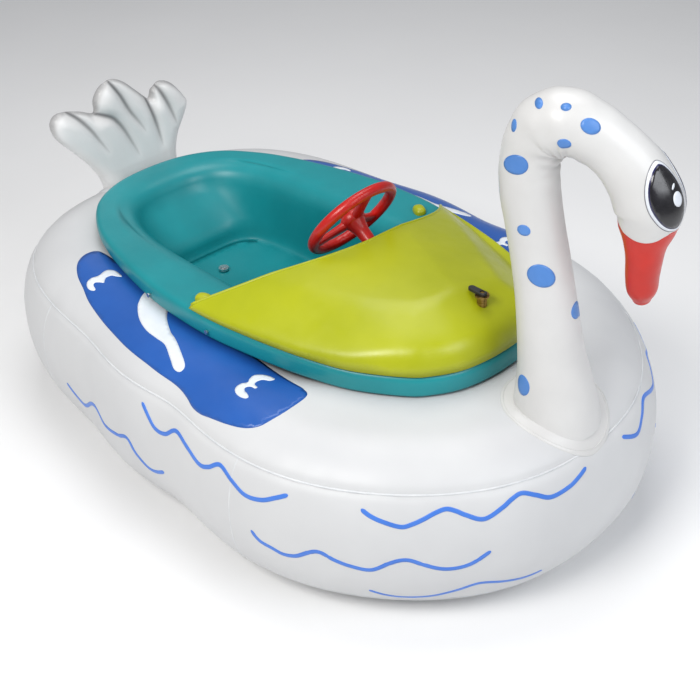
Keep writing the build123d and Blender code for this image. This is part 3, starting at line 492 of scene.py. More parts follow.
M["beak"] = finish_material("pvc_beak_skin", (0.50, 0.011, 0.003), (0.62, 0.018, 0.006), 0.36, 9.0, 800, 0.06, 0.04, 0.5, 0.15)
M["teal"] = finish_material("tub_moulded_teal", (0.005, 0.214, 0.240), (0.008, 0.290, 0.322), 0.38, 3.0, 450, 0.22, 0.03, 0.45, 0.10, coat_rough=0.25)
M["lime"] = finish_material("hood_moulded_lime", (0.335, 0.370, 0.003), (0.43, 0.46, 0.005), 0.36, 3.5, 450, 0.20, 0.04, 0.45, 0.12, coat_rough=0.25)
M["red"] = finish_material("wheel_moulded_red", (0.42, 0.005, 0.003), (0.54, 0.009, 0.005), 0.34, 16.0, 500, 0.22, 0.0, 0.5, 0.15)
M["brass"] = brushed("lock_brass_turned", (0.20, 0.115, 0.030), (0.46, 0.30, 0.10), 0.34, (60, 60, 900))
M["steel"] = brushed("stainless_drawn", (0.42, 0.43, 0.44), (0.66, 0.67, 0.68), 0.30, (300, 300, 300))
M["alu"] = finish_material("cast_aluminium", (0.50, 0.51, 0.52), (0.66, 0.67, 0.68), 0.42, 30.0, 600, 0.4, 0.0, 0.5, 0.0, 1.0)
M["blackp"] = finish_material("nylon_black", (0.012, 0.012, 0.013), (0.026, 0.026, 0.028), 0.46, 25.0, 500, 0.3)
M["rubber"] = finish_material("rubber_matt", (0.010, 0.010, 0.010), (0.022, 0.022, 0.022), 0.66, 40.0, 800, 0.35)
M["foam"] = finish_material("foam_closed_cell", (0.05, 0.052, 0.055), (0.09, 0.092, 0.095), 0.85, 60.0, 1500, 0.6)
M["grey"] = finish_material("cap_grey", (0.40, 0.41, 0.43), (0.50, 0.51, 0.53), 0.42, 30.0, 600, 0.25)
M["paddle"] = finish_material("paddle_moulded", (0.52, 0.54, 0.56), (0.64, 0.66, 0.68), 0.42, 12.0, 500, 0.25)

SLOT_MAT = {"pvc_white": "white", "pvc_red": "beak", "tub_teal": "teal", "hood_lime": "lime", "wheel_red": "red",
            "lock_brass": "brass", "black_plastic": "blackp", "cap_grey": "grey", "teal_trim": "lime", "steel": "steel",
            "alu": "alu", "rubber_black": "rubber", "foam_grey": "foam", "pedal_black": "blackp",
            "paddle_white": "paddle", "rudder_teal": "teal"}
for sub in frame["record"]["subparts"]:
    o = frame["nodes"].get(sub["node"])
    if o is None:
        continue
    mat = M[SLOT_MAT[sub["material_slot"]]]
    if len(o.material_slots) == 0:
        o.data.materials.append(mat)
    for s in o.material_slots:
        s.material = mat

# ---- buoyancy ring -------------------------------------------------------------
SEAMS = (0.75, math.pi - 0.75, -0.75, -(math.pi - 0.75))


def pinch(ph):
    """Skin drawn in a little beside each weld."""
    d = 0.0
    for s in SEAMS:
        d = d + np.exp(-(((ph - s) * 0.21) / 0.012) ** 2)
    return -0.0026 * d


NT, NP = 460, 200
th = np.linspace(-math.pi, math.pi, NT, endpoint=False)
ph = np.linspace(-math.pi, math.pi, NP, endpoint=False)
A, B = np.meshgrid(th, ph, indexing="ij")
# faint puckers that run out from the welds where the ring bends most
bend = np.clip((np.abs(np.cos(A)) - 0.35) / 0.65, 0, 1)
puck = sum(np.exp(-(((B - s) * 0.21) / 0.035) ** 2) for s in (SEAMS[0], SEAMS[1]))
pucker = 0.0013 * bend * puck * np.sin(A * 58 + 2.0 * np.sin(A * 7)) * np.cos(A * 13)
ring = Build()
ring.grid(tube_point(A, B, pinch(B) + pucker), True, True)
ring_skin = ring.obj("ring_skin", M["white"])
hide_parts("buoyancy_tube")
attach(ring_skin, "hull")


def tube_normal(t, p, e=1e-4):
    P = tube_point(t, p)
    n = np.cross(tube_point(t + e, p) - P, tube_point(t, p + e) - P)
    n /= np.linalg.norm(n, axis=-1, keepdims=True)
    return n if (n * (tube_point(t, p, 0.01) - P)).sum() > 0 else -n


welds = Build()
tt = np.linspace(-math.pi, math.pi, 720, endpoint=False)
for s in SEAMS:
    pp = np.full_like(tt, s)
    welds.tube(tube_point(tt, pp, -0.0021), 0.0025, 8, True, 0.62, tube_normal(tt, pp))
for t0 in (0.92, -0.92, 2.45, -2.45):
    pp = np.linspace(SEAMS[0], -0.75, 60)
    welds.tube(tube_point(np.full_like(pp, t0), pp, pinch(pp) - 0.0006), 0.0022, 8, False, 0.5, tube_normal(np.full_like(pp, t0), pp))
weld_obj = welds.obj("ring_welds", M["seam"])
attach(weld_obj, "hull")


# ---- prints on the ring -----------------------------------------------------------
def tube_surf(t, p, off):
    return tube_point(t, p, off + pinch(p))


def decal(build, surf, outline, off, step, scale, n=8, loop=True):
    lo = smooth_loop(outline, n) if loop else np.asarray(outline, float)
    V, F = fill(lo * np.array(scale), step)
    V = V / np.array(scale)
    top = surf(V[:, 0], V[:, 1], off)
    bot = surf(V[:, 0], V[:, 1], -0.0006)
    m = len(V)
    build.tris(top, F)
    build.tris(bot, [f[::-1] for f in F])
    # side wall round the outline
    d = {}
    for f in F:
        for a, b in zip(f, f[1:] + f[:1]):
            d[(a, b)] = d.get((a, b), 0) + 1
    b0 = len(build.v) - 2 * m
    for (a, b) in d:
        if (b, a) not in d:
            build.f.append((b0 + b, b0 + a, b0 + m + a, b0 + m + b))


def ribbon(build, surf, line, width, off, n=10):
    L = smooth_line(line, n)
    P = surf(L[:, 0], L[:, 1], 0.0)
    T = np.gradient(P, axis=0)
    T /= np.linalg.norm(T, axis=1, keepdims=True)
    e = 1e-4
    N = np.cross(surf(L[:, 0] + e, L[:, 1], 0.0) - P, surf(L[:, 0], L[:, 1] + e, 0.0) - P)
    N /= np.linalg.norm(N, axis=1, keepdims=True)
    sg = np.sign((N * (surf(L[:, 0], L[:, 1], 0.01) - P)).sum(1))[:, None]
    N = N * sg
    S = np.cross(N, T)
    s = np.concatenate([[0], np.cumsum(np.linalg.norm(np.diff(P, axis=0), axis=1))])
    ends = np.minimum(s, s[-1] - s)
    w = width * np.sqrt(np.clip(1 - (1 - np.clip(ends / (width * 0.9), 0.02, 1)) ** 2, 0, 1)) / 2
    k = np.linspace(-1, 1, 5)
    # the stripe's width is laid along the surface itself, so it hugs the weld's flank
    Pt = (surf(L[:, 0] + e, L[:, 1], 0.0) - P) / e
    Pp = (surf(L[:, 0], L[:, 1] + e, 0.0) - P) / e
    aa, bb, cc = (Pt * Pt).sum(1), (Pt * Pp).sum(1), (Pp * Pp).sum(1)
    u, v = (S * Pt).sum(1), (S * Pp).sum(1)
    det = aa * cc - bb * bb
    dt, dp = (cc * u - bb * v) / det, (aa * v - bb * u) / det
    TT = (L[:, :1] + (dt * w)[:, None] * k[None, :])
    PP = (L[:, 1:2] + (dp * w)[:, None] * k[None, :])
    top = surf(TT.ravel(), PP.ravel(), off + 0.0002).reshape(len(L), len(k), 3)
    bot = surf(TT.ravel(), PP.ravel(), -0.0006).reshape(len(L), len(k), 3)
    loop = np.concatenate([top, bot[:, ::-1]], 1)
    build.grid(loop, False, True)
    for r in (loop[0], loop[-1]):
        b = len(build.v)
        build.v += [tuple(p) for p in r]
        build.f.append(tuple(range(b, b + len(r))))


WAVES = [
    [[-1.6065, 0.5878], [-1.4768, 0.3774], [-1.3359, 0.3844], [-1.2331, 0.5228], [-1.1311, 0.4637], [-1.0516, 0.395], [-1.0105, 0.4405], [-0.968, 0.5534], [-0.9163, 0.4611], [-0.8702, 0.3826], [-0.8235, 0.4074], [-0.7872, 0.4888], [-0.7552, 0.5688]],
    [[-2.3095, -0.0447], [-2.2368, -0.0978], [-2.1251, -0.1025], [-1.955, 0.0657], [-1.8615, -0.0243], [-1.7589, -0.0014], [-1.694, 0.0379], [-1.6365, -0.0885], [-1.5422, -0.1785], [-1.3809, -0.0815]],
    [[-0.8516, 0.0178], [-0.8277, -0.0484], [-0.7951, -0.0738], [-0.7664, -0.1], [-0.7346, -0.0768], [-0.7028, -0.0086], [-0.6725, 0.0224], [-0.6367, -0.0206], [-0.5985, -0.058], [-0.5509, -0.0777], [-0.508, -0.0019], [-0.4667, 0.0388], [-0.4268, -0.0039], [-0.3835, -0.0507], [-0.3457, -0.0454], [-0.3131, 0.0003], [-0.2871, 0.0648]],
    [[-0.5578, -0.4203], [-0.5148, -0.5218], [-0.4687, -0.5637], [-0.4119, -0.5298], [-0.3527, -0.4076], [-0.3049, -0.3195], [-0.2475, -0.3966], [-0.2035, -0.4428], [-0.1642, -0.4291]],
    [[-0.5725, 0.5714], [-0.5502, 0.5035], [-0.5192, 0.4479], [-0.4776, 0.4014], [-0.4506, 0.4367], [-0.4261, 0.4911], [-0.4016, 0.5536], [-0.3775, 0.5911], [-0.3564, 0.5603], [-0.336, 0.5048], [-0.2996, 0.433], [-0.2608, 0.5157], [-0.2376, 0.5876], [-0.2146, 0.6223], [-0.186, 0.5512], [-0.1543, 0.4664], [-0.1079, 0.4816], [-0.0801, 0.523], [-0.0503, 0.5847]],
]
WAVE_PORT_BOW = [[0.0937, 0.5936], [0.1481, 0.4514], [0.1922, 0.5366], [0.2364, 0.6384], [0.294, 0.5159], [0.335, 0.452],
                 [0.375, 0.52], [0.415, 0.60], [0.455, 0.52], [0.50, 0.445], [0.545, 0.50], [0.58, 0.575]]
wv = Build()
for i, w in enumerate(WAVES):
    ribbon(wv, tube_surf, w, 0.0105 if i != 3 else 0.0085, 0.0005)
    if i != 4:
        dn = 0.30 if i == 1 else 0.0
        ribbon(wv, tube_surf, [[-a, b - dn] for a, b in w], 0.0105 if i != 3 else 0.0085, 0.0005)
ribbon(wv, tube_surf, WAVE_PORT_BOW, 0.0105, 0.0005)
wave_obj = wv.obj("print_waves", M["wave"], 1e-6)

PATCH = [[-2.5483, 1.6144], [-2.5297, 1.4908], [-2.4966, 1.3861], [-2.4428, 1.2943], [-2.3795, 1.2301], [-2.2827, 1.1251], [-2.1242, 1.0661], [-1.9023, 1.0659], [-1.712, 1.0556], [-1.5676, 1.017], [-1.3769, 0.986], [-1.2692, 0.9474], [-1.1987, 0.9042], [-1.1393, 0.9058], [-1.0862, 0.9499], [-1.0143, 1.0125], [-0.9524, 1.0859], [-0.9142, 1.1812], [-0.8949, 1.2997], [-0.8733, 1.5453], [-0.8677, 1.8258], [-0.9068, 1.9079], [-0.9506, 1.93], [-1.0436, 1.94], [-1.1435, 1.945], [-1.2442, 1.945], [-1.3602, 1.94], [-1.6251, 1.935], [-1.8955, 1.92], [-2.0826, 1.90], [-2.2523, 1.88], [-2.376, 1.86], [-2.4741, 1.80], [-2.5356, 1.7257]]
FINGER = [[-2.1707, 1.7924], [-2.0592, 1.8246], [-2.0015, 1.8268], [-1.8797, 1.6787], [-1.7625, 1.5813], [-1.6635, 1.5237], [-1.5641, 1.4119], [-1.4604, 1.2692], [-1.4568, 1.1674], [-1.5096, 1.1633], [-1.5865, 1.2686], [-1.68, 1.3916], [-1.7611, 1.4058], [-1.8547, 1.4067], [-1.9715, 1.4518], [-2.0824, 1.5474], [-2.145, 1.6477]]
TICKS = [[[-2.3347, 1.6788], [-2.3777, 1.6841], [-2.4022, 1.6401], [-2.4059, 1.583], [-2.3952, 1.5229], [-2.3941, 1.4748], [-2.3988, 1.4083], [-2.3925, 1.3351], [-2.3734, 1.2834], [-2.3481, 1.2701], [-2.3285, 1.301], [-2.3326, 1.333], [-2.3568, 1.3532], [-2.366, 1.3944], [-2.3551, 1.438], [-2.3406, 1.4732], [-2.3536, 1.508], [-2.3647, 1.5477], [-2.3629, 1.5976], [-2.3463, 1.6287]],
         [[-1.0546, 1.8211], [-1.0922, 1.7996], [-1.1161, 1.7446], [-1.1288, 1.6721], [-1.1185, 1.6021], [-1.1051, 1.5683], [-1.1152, 1.5182], [-1.1122, 1.4459], [-1.0936, 1.3967], [-1.0634, 1.3806], [-1.0356, 1.4036], [-1.0314, 1.4436], [-1.0509, 1.4685], [-1.0703, 1.4761], [-1.0831, 1.5095], [-1.075, 1.5523], [-1.0541, 1.5644], [-1.0534, 1.5864], [-1.0745, 1.5921], [-1.0847, 1.6294], [-1.08, 1.7005], [-1.0562, 1.7513]]]
pt, fg = Build(), Build()
for s in (1, -1):
    decal(pt, tube_surf, [[s * a, b] for a, b in PATCH][::s], 0.0005, 0.012, (0.62, 0.21), 6)
    decal(fg, tube_surf, [[s * a, b] for a, b in FINGER][::s], 0.0009, 0.008, (0.62, 0.21), 6)
    for k in TICKS:
        decal(fg, tube_surf, [[s * a, b] for a, b in k][::s], 0.0009, 0.005, (0.62, 0.21), 5)
patch_obj = pt.obj("print_wing_patches", M["blue"], 1e-6)
finger_obj = fg.obj("print_wing_feathers", M["pale"], 1e-6)
for o in (wave_obj, patch_obj, finger_obj):
    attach(o, "hull")

# ---- air valves ----------------------------------------------------------------------
def valve(vb, vc, c, n, body_r=0.017):
    c, n = np.asarray(c, float), np.asarray(n, float)
    e = np.cross(n, [0, 0, 1.0])
    e /= np.linalg.norm(e)
    f = np.cross(n, e)
    u = np.linspace(0, 2 * math.pi, 48, endpoint=False)

    def turn(b, prof):
        g = np.stack([c + h * n + r * (np.cos(u)[:, None] * e + np.sin(u)[:, None] * f) for r, h in prof])
        b.grid(g, False, True)
        b.fan(g[0], c + prof[0][1] * n)
        b.fan(g[-1], c + prof[-1][1] * n)

    turn(vb, [(body_r * 1.25, -0.002), (body_r * 1.25, 0.0004), (body_r * 1.2, 0.0014), (body_r, 0.0022), (body_r * 0.97, 0.0034), (0.0118, 0.0040), (0.0112, 0.0062), (0.0112, 0.0085)])
    k = 0.0124 + 0.0005 * (np.cos(u * 14) > 0)
    ring = [(k * 0.96, 0.0080), (k, 0.0086), (k, 0.0138), (k * 0.94, 0.0148), (k * 0.70, 0.0152), (k * 0.66, 0.0142)]
    g = np.stack([c + h * n + (r * np.cos(u))[:, None] * e + (r * np.sin(u))[:, None] * f for r, h in ring])
    vc.grid(g, False, True)
    vc.fan(g[0], c + 0.008 * n)
    vc.fan(g[-1], c + 0.0142 * n)


vb, vc = Build(), Build()
t0 = math.pi / 2 + 0.17
for sc in range(30):
    t0 += (plan_mid(np.array(t0))[0] + 0.10) * 1.2
q0 = tube_point(np.array(t0), np.array(0.0), 0.0)
n0 = np.append(plan_normal(np.array(t0)), 0.0)
valve(vb, vc, q0, n0)
valve(vb, vc, (-0.9125, 0.0, 0.520), (-1.0, 0.0, 0.0))
vbo = vb.obj("valve_seats", M["blackp"], 1e-6)
vco = vc.obj("valve_plugs", M["grey"], 1e-6)
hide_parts("valve_bodies")
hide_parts("valve_caps")
for o in (vbo, vco):
    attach(o, "hull")

# ---- neck, head and beak -------------------------------------------------------------
NA = 96
al = np.linspace(-math.pi, math.pi, NA, endpoint=False)
edge = 16.31 - np.where(np.sin(al) > 0, 0.62 * np.sin(al) ** 2, np.minimum(0.55 * np.sin(al) ** 2 + 0.45 * np.sin(al) ** 4, 0.56))
rows = np.linspace(0, 1, 330)
t2 = edge[None, :] * rows[:, None]
neck = Build()
P = limb_point(t2, np.broadcast_to(al, t2.shape))
neck.grid(P, False, True)
neck.fan(P[0], P[0].mean(0))
inner = limb_point(np.broadcast_to(edge, (1, NA)), al[None, :], -0.004)
neck.grid(np.concatenate([P[-1:], inner]), False, True)
neck.fan(inner[0], inner[0].mean(0))
neck_skin = neck.obj("neck_and_head_skin", M["neck"])
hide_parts("swan_neck", "swan_head")

last = len(LIMB) - 1
rows = np.linspace(0, 1, 90)
t3 = edge[None, :] * (1 - rows[:, None]) + last * rows[:, None]
beak = Build()
P = limb_point(t3, np.broadcast_to(al, t3.shape))
c, r, side, up = limb_frame(np.array([last - 1e-3]))
d = np.cross(side[0], -up[0])
d = d if d[2] < 0 else -d
tip = [P[-1]]
cen = P[-1].mean(0)
for k in np.linspace(0.15, 0.97, 7):
    tip.append(cen + (P[-1] - cen) * math.cos(k * math.pi / 2) + d * 0.012 * math.sin(k * math.pi / 2))
beak.grid(np.concatenate([P, np.array(tip[1:])]), False, True)
beak.fan(tip[-1], cen + d * 0.012)
inn = limb_point(np.broadcast_to(edge, (1, NA)), al[None, :], -0.004)
beak.grid(np.concatenate([P[:1], inn]), False, True)
beak.fan(inn[0], inn[0].mean(0))
beak_skin = beak.obj("beak_skin", M["beak"])
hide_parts("beak")


def limb_surf(t, a, off):
    return limb_point(t, a, off)


def ellipse(ct, ca, rt, ra, n=40, tilt=0.0, e=2.0):
    k = np.linspace(0, 2 * math.pi, n, endpoint=False)
    x, y = np.cos(k), np.sin(k)
    x, y = np.sign(x) * np.abs(x) ** (2 / e), np.sign(y) * np.abs(y) ** (2 / e)
    x, y = x * math.cos(tilt) - y * math.sin(tilt), x * math.sin(tilt) + y * math.cos(tilt)
    return np.stack([ct + rt * x, ca + ra * y], 1)


def limb_scale(t):
    """Metres per unit of t and of a at station t."""
    a = limb_frame(np.array([t - 0.25, t + 0.25]))[0]
    return float(np.linalg.norm(a[1] - a[0]) / 0.5), float(catmull(LIMB, np.array([t]))[0, 3])


SPOTS = [
    [(10.673, -2.146), (10.677, -2.204), (10.67, -2.251), (10.652, -2.284), (10.626, -2.301), (10.594, -2.299), (10.56, -2.279), (10.528, -2.242), (10.5, -2.19), (10.478, -2.128), (10.463, -2.061), (10.456, -1.994), (10.457, -1.935), (10.469, -1.891), (10.49, -1.871), (10.521, -1.877), (10.557, -1.908), (10.595, -1.957), (10.629, -2.018), (10.656, -2.083)],
    [(11.289, -2.227), (11.295, -2.265), (11.291, -2.305), (11.275, -2.343), (11.251, -2.373), (11.22, -2.394), (11.186, -2.402), (11.152, -2.398), (11.122, -2.381), (11.099, -2.354), (11.086, -2.32), (11.082, -2.282), (11.088, -2.244), (11.103, -2.209), (11.126, -2.18), (11.155, -2.16), (11.186, -2.151), (11.218, -2.154), (11.248, -2.168), (11.272, -2.193)],
    [(12.193, -2.484), (12.193, -2.56), (12.168, -2.636), (12.12, -2.701), (12.054, -2.75), (11.971, -2.777), (11.872, -2.778), (11.78, -2.756), (11.707, -2.712), (11.659, -2.652), (11.639, -2.582), (11.646, -2.51), (11.679, -2.442), (11.734, -2.383), (11.808, -2.336), (11.896, -2.307), (11.989, -2.3), (12.063, -2.316), (12.124, -2.355), (12.169, -2.413)],
    [(9.874, -2.346), (9.836, -2.381), (9.794, -2.402), (9.752, -2.408), (9.716, -2.399), (9.689, -2.375), (9.674, -2.338), (9.67, -2.29), (9.677, -2.234), (9.693, -2.176), (9.717, -2.121), (9.746, -2.075), (9.779, -2.047), (9.815, -2.041), (9.851, -2.056), (9.882, -2.09), (9.905, -2.137), (9.918, -2.191), (9.917, -2.247), (9.902, -2.3)],
    [(8.984, 2.978), (8.867, 2.999), (8.772, 3.062), (8.705, 3.158), (8.666, 3.278), (8.651, 3.412), (8.658, 3.551), (8.683, 3.685), (8.723, 3.799), (8.779, 3.876), (8.852, 3.897), (8.94, 3.856), (9.036, 3.768), (9.133, 3.651), (9.216, 3.522), (9.271, 3.392), (9.289, 3.268), (9.264, 3.155), (9.197, 3.063), (9.1, 3.0)],
    [(6.967, 3.02), (6.934, 3.06), (6.914, 3.115), (6.906, 3.182), (6.912, 3.254), (6.93, 3.325), (6.959, 3.387), (6.997, 3.434), (7.041, 3.458), (7.088, 3.456), (7.133, 3.429), (7.17, 3.381), (7.196, 3.317), (7.206, 3.247), (7.2, 3.176), (7.178, 3.111), (7.143, 3.057), (7.101, 3.018), (7.054, 2.999), (7.009, 3.0)],
    [(5.686, 2.466), (5.632, 2.546), (5.601, 2.657), (5.595, 2.788), (5.612, 2.928), (5.651, 3.066), (5.709, 3.19), (5.783, 3.288), (5.868, 3.346), (5.958, 3.355), (6.044, 3.312), (6.114, 3.225), (6.16, 3.107), (6.176, 2.971), (6.159, 2.83), (6.111, 2.695), (6.039, 2.577), (5.95, 2.486), (5.853, 2.433), (5.762, 2.426)],
]
ROUND_SPOTS = [(11.38, 2.93, 0.29, 0.17), (3.10, -2.45, 0.44, 0.27), (4.85, 1.68, 0.15, 0.33)]
PORT_SPOTS = [(10.3, -0.7, 0.011, 0.015), (11.5, -0.45, 0.018, 0.015), (9.2, -0.25, 0.027, 0.03), (7.4, 0.15, 0.016, 0.018),
              (6.0, -0.35, 0.03, 0.033), (3.6, 0.05, 0.025, 0.03), (4.8, 1.45, 0.02, 0.022), (7.9, -1.5, 0.022, 0.025), (4.7, -1.45, 0.026, 0.03)]
sp = Build()
for pts in SPOTS:
    st, sa = limb_scale(pts[0][0])
    decal(sp, limb_surf, pts, 0.0005, 0.005, (st, sa), 3)
for t, a, ht, ha in ROUND_SPOTS:
    st, sa = limb_scale(t)
    decal(sp, limb_surf, ellipse(t, a, ht, ha, 36), 0.0005, 0.005, (st, sa), 1, loop=False)
for t, a, ht, ha in PORT_SPOTS:
    st, sa = limb_scale(t)
    ht, ha = ht * 0.75, ha * 0.75
    decal(sp, limb_surf, ellipse(t, a, ht / st, ha / sa, 36, 0.35), 0.0005, 0.006, (st, sa), 1, loop=False)
spots = sp.obj("print_neck_spots", M["spot"], 1e-6)

eyes = {"line": Build(), "pale": Build(), "navy": Build(), "black": Build(), "painted_highlight": Build()}
EYE_T, EYE_A = 14.70, -2.06


def eye_shape(side, ru, rv, du=0.0, dv=0.0, n=64, tilt=0.0, front=1.0):
    """Oval in metres on the side of the head, as (t, a) points; front < 1 narrows the half nearer the brow."""
    st, sa = limb_scale(EYE_T)
    k = np.linspace(0, 2 * math.pi, n, endpoint=False)
    U = ru * np.cos(k) * math.cos(tilt) - rv * np.sin(k) * math.sin(tilt)
    W = ru * np.cos(k) * math.sin(tilt) + rv * np.sin(k) * math.cos(tilt)
    W = np.where(W > 0, W * front, W)
    a = EYE_A + (dv + W) / sa
    return np.stack([EYE_T + (du + U) / st, a if side == 1 else -math.pi - a], 1)


for s in (1, -1):
    st, sa = limb_scale(EYE_T)
    for key, ru, rv, off, fr_ in (("line", 0.0625, 0.0635, 0.0004, 0.485), ("pale", 0.0608, 0.0618, 0.0008, 0.475), ("navy", 0.0550, 0.0560, 0.0012, 0.45), ("black", 0.0525, 0.0530, 0.0016, 0.44)):
        decal(eyes[key], limb_surf, eye_shape(s, ru, rv, 0.0, 0.0, 64, 0.0, fr_), off, 0.006, (st, sa), 1, loop=False)
    # painted highlight: two pale patches laid over the black of each eye stand in for the lamp's reflection on it
    decal(eyes["painted_highlight"], limb_surf, eye_shape(s, 0.0115, 0.0125, 0.0075, 0.0040, 30, 0.3), 0.0020, 0.004, (st, sa), 1, loop=False)
    decal(eyes["painted_highlight"], limb_surf, eye_shape(s, 0.0022, 0.0070, -0.0130, 0.0050, 24, 0.4), 0.0020, 0.004, (st, sa), 1, loop=False)
eye_objs = []
for key, mk in (("line", "line"), ("pale", "pale"), ("navy", "navy"), ("black", "black"), ("painted_highlight", "pale")):
    eye_objs.append(eyes[key].obj("print_eye_" + key, M[mk], 1e-6))
for o in [neck_skin, spots] + eye_objs:
    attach(o, "hull")
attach(beak_skin, "hull")

# weld collar where the neck stands on the ring
col = Build()
ang = np.linspace(0, 2 * math.pi, 120, endpoint=False)
prof = [(0.090, 0.004), (0.098, 0.0075), (0.106, 0.0042), (0.115, 0.0034), (0.1225, 0.0026), (0.1245, 0.0004), (0.1245, -0.004), (0.09, -0.004)]
rings = []
for rr, hh in prof:
    x, y = 0.7795 + rr * np.cos(ang), rr * np.sin(ang)
    rings.append(np.stack([x, y, tube_top(x, y) + hh], 1))
col.grid(np.array(rings), True, True)
x, y = 0.7795 + 0.1185 * np.cos(ang), 0.1185 * np.sin(ang)
col.tube(np.stack([x, y, tube_top(x, y) + 0.003], 1), 0.0012, 8, True)
collar = col.obj("neck_collar_skin", M["neck"])
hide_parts("neck_collar")
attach(collar, "hull")

# ---- tail ---------------------------------------------------------------------------------
TAIL = [(-0.112, 0.452), (-0.1372, 0.507), (-0.1848, 0.5729), (-0.2352, 0.6346), (-0.2500, 0.6706), (-0.2473, 0.6958), (-0.2314, 0.7125), (-0.2025, 0.716), (-0.1522, 0.7009), (-0.1066, 0.682), (-0.099, 0.7139), (-0.0811, 0.7422), (-0.0525, 0.7595), (-0.0266, 0.7611), (0.0088, 0.7415), (0.0501, 0.6997), (0.0887, 0.662), (0.1016, 0.6869), (0.1221, 0.7022), (0.1491, 0.7007), (0.1779, 0.6811), (0.2046, 0.6475), (0.2200, 0.6143), (0.1996, 0.5726), (0.1698, 0.5267), (0.1566, 0.4813), (0.1541, 0.4315)]
outl = [(-0.106, 0.398)] + TAIL + [(0.1541, 0.398)]
top = smooth_line(outl, 6)
loop = np.concatenate([top, np.stack([np.linspace(0.1541, -0.106, 38)[1:-1], np.full(36, 0.398)], 1)])
V, F = fill(loop, 0.0038)
dist = loop_dist(V, loop)
side_d = loop_dist(V, np.concatenate([top, top[::-1]]))
CREASE = [[(-0.1988, 0.7181), (-0.1675, 0.6878), (-0.1378, 0.6452), (-0.1159, 0.6023), (-0.0953, 0.5632)],
          [(-0.1090, 0.6815), (-0.059, 0.6567), (-0.0312, 0.6157), (-0.0096, 0.5602), (0.0042, 0.5188)],
          [(-0.048, 0.7676), (-0.019, 0.7127), (0.0024, 0.6591), (0.0262, 0.6156), (0.0409, 0.5841)],
          [(0.0700, 0.6860), (0.0804, 0.6288), (0.0866, 0.5867), (0.09, 0.549), (0.0911, 0.52)],
          [(0.1083, 0.7099), (0.1253, 0.6732), (0.1415, 0.6282), (0.1514, 0.5886), (0.1545, 0.5713)]]
cr = np.zeros(len(V))
shade = np.zeros(len(V))
for i, c5 in enumerate(CREASE):
    C5 = smooth_line(c5, 8)
    m5 = len(C5) - 1
    for j in range(m5):
        dd = seg_dist(V, C5[j], C5[j + 1])
        u = (j + 0.5) / m5
        cr = np.maximum(cr, np.exp(-(dd / (0.015 - 0.004 * u)) ** 2) * (1 - u))
        wd = 0.0028 + 0.0058 * math.sin(math.pi * min(1.0, 0.18 + 0.8 * u)) * (1 - 0.55 * u)
        shade = np.maximum(shade, 0.93 * np.exp(-(dd / wd) ** 2) * (1 - u) ** 0.55)
        shade = np.maximum(shade, 0.26 * np.exp(-(dd / (0.020 - 0.010 * u)) ** 2) * (1 - u) ** 0.7)
lobe = np.clip((V[:, 1] - 0.60) / 0.08, 0, 1)
shade = np.maximum(shade, 0.62 * lobe * np.exp(-(side_d / 0.0085) ** 2))
TH_MAX = 0.046
taper = 1 - 0.45 * np.clip((V[:, 1] - 0.50) / 0.27, 0, 1)
w = np.clip(side_d / 0.052, 0, 1)
hth = TH_MAX * taper * np.sqrt(np.clip(1 - (1 - w) ** 2, 0, 1)) * (1 - 0.50 * cr)
x0 = np.full(len(V), -0.868)
tail = Build()
fr = np.stack([x0 + hth, V[:, 0], V[:, 1]], 1)
bk = np.stack([x0 - hth, V[:, 0], V[:, 1]], 1)
tail.tris(fr, F)
tail.tris(bk, [f[::-1] for f in F])
tail_skin = make("tail_skin", tail.v, tail.f, M["tail"])
at = tail_skin.data.attributes.new("shade", "FLOAT", "POINT")
at.data.foreach_set("value", np.concatenate([shade, shade * 0.9]).astype(np.float32))
tidy(tail_skin, 3e-5)
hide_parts("tail_fan")
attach(tail_skin, "hull")

# weld flange round the foot of the tail
k = np.linspace(0, 2 * math.pi, 160, endpoint=False)


def foot(grow, n=6.0):
    c, s = np.cos(k), np.sin(k)
    return (-0.868 + (0.045 + grow) * np.sign(c) * np.abs(c) ** (2 / n), 0.020 + (0.134 + grow) * np.sign(s) * np.abs(s) ** (2 / n))


rings = []
for g, h in ((-0.004, 0.004), (0.002, 0.007), (0.008, 0.004), (0.014, 0.003), (0.0175, 0.0006), (0.0175, -0.004), (-0.004, -0.004)):
    x, y = foot(g)
    rings.append(np.stack([x, y, tube_top(x, y) + h], 1))
fl = Build()
fl.grid(np.array(rings), True, True)
flange = fl.obj("tail_flange_skin", M["seam"])
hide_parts("tail_flange")
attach(flange, "hull")

# ---- tub -------------------------------------------------------------------------------------
COAM_HALF = np.array([[0.628, 0.0], [0.624, 0.066], [0.610, 0.13], [0.580, 0.187], [0.538, 0.235], [0.428, 0.306], [0.314, 0.346], [0.214, 0.370],
                      [0.128, 0.386], [0.05, 0.398], [-0.023, 0.4035], [-0.094, 0.4045], [-0.166, 0.403], [-0.239, 0.396], [-0.317, 0.384],
                      [-0.404, 0.367], [-0.506, 0.341], [-0.610, 0.300], [-0.715, 0.228], [-0.775, 0.125], [-0.792, 0.0]])
coam_loop = smooth_loop(np.concatenate([COAM_HALF, COAM_HALF[-2:0:-1] * [1, -1]]), 12)
CX = np.array([-0.09, 0.0])
NR = 360
ka = np.linspace(-math.pi, math.pi, NR, endpoint=False)


def polar(loop):
    q = loop - CX
    a = np.arctan2(q[:, 1], q[:, 0])
    o = np.argsort(a)
    a, r = a[o], np.linalg.norm(q, axis=1)[o]
    return np.interp(ka, np.concatenate([a - 2 * math.pi, a, a + 2 * math.pi]), np.tile(r, 3))


def super_loop(x0, x1, w, n, m=720):
    t = np.linspace(0, 2 * math.pi, m, endpoint=False)
    c, s = np.cos(t), np.sin(t)
    return np.stack([(x0 + x1) / 2 + (x1 - x0) / 2 * np.sign(c) * np.abs(c) ** (2 / n), w * np.sign(s) * np.abs(s) ** (2 / n)], 1)


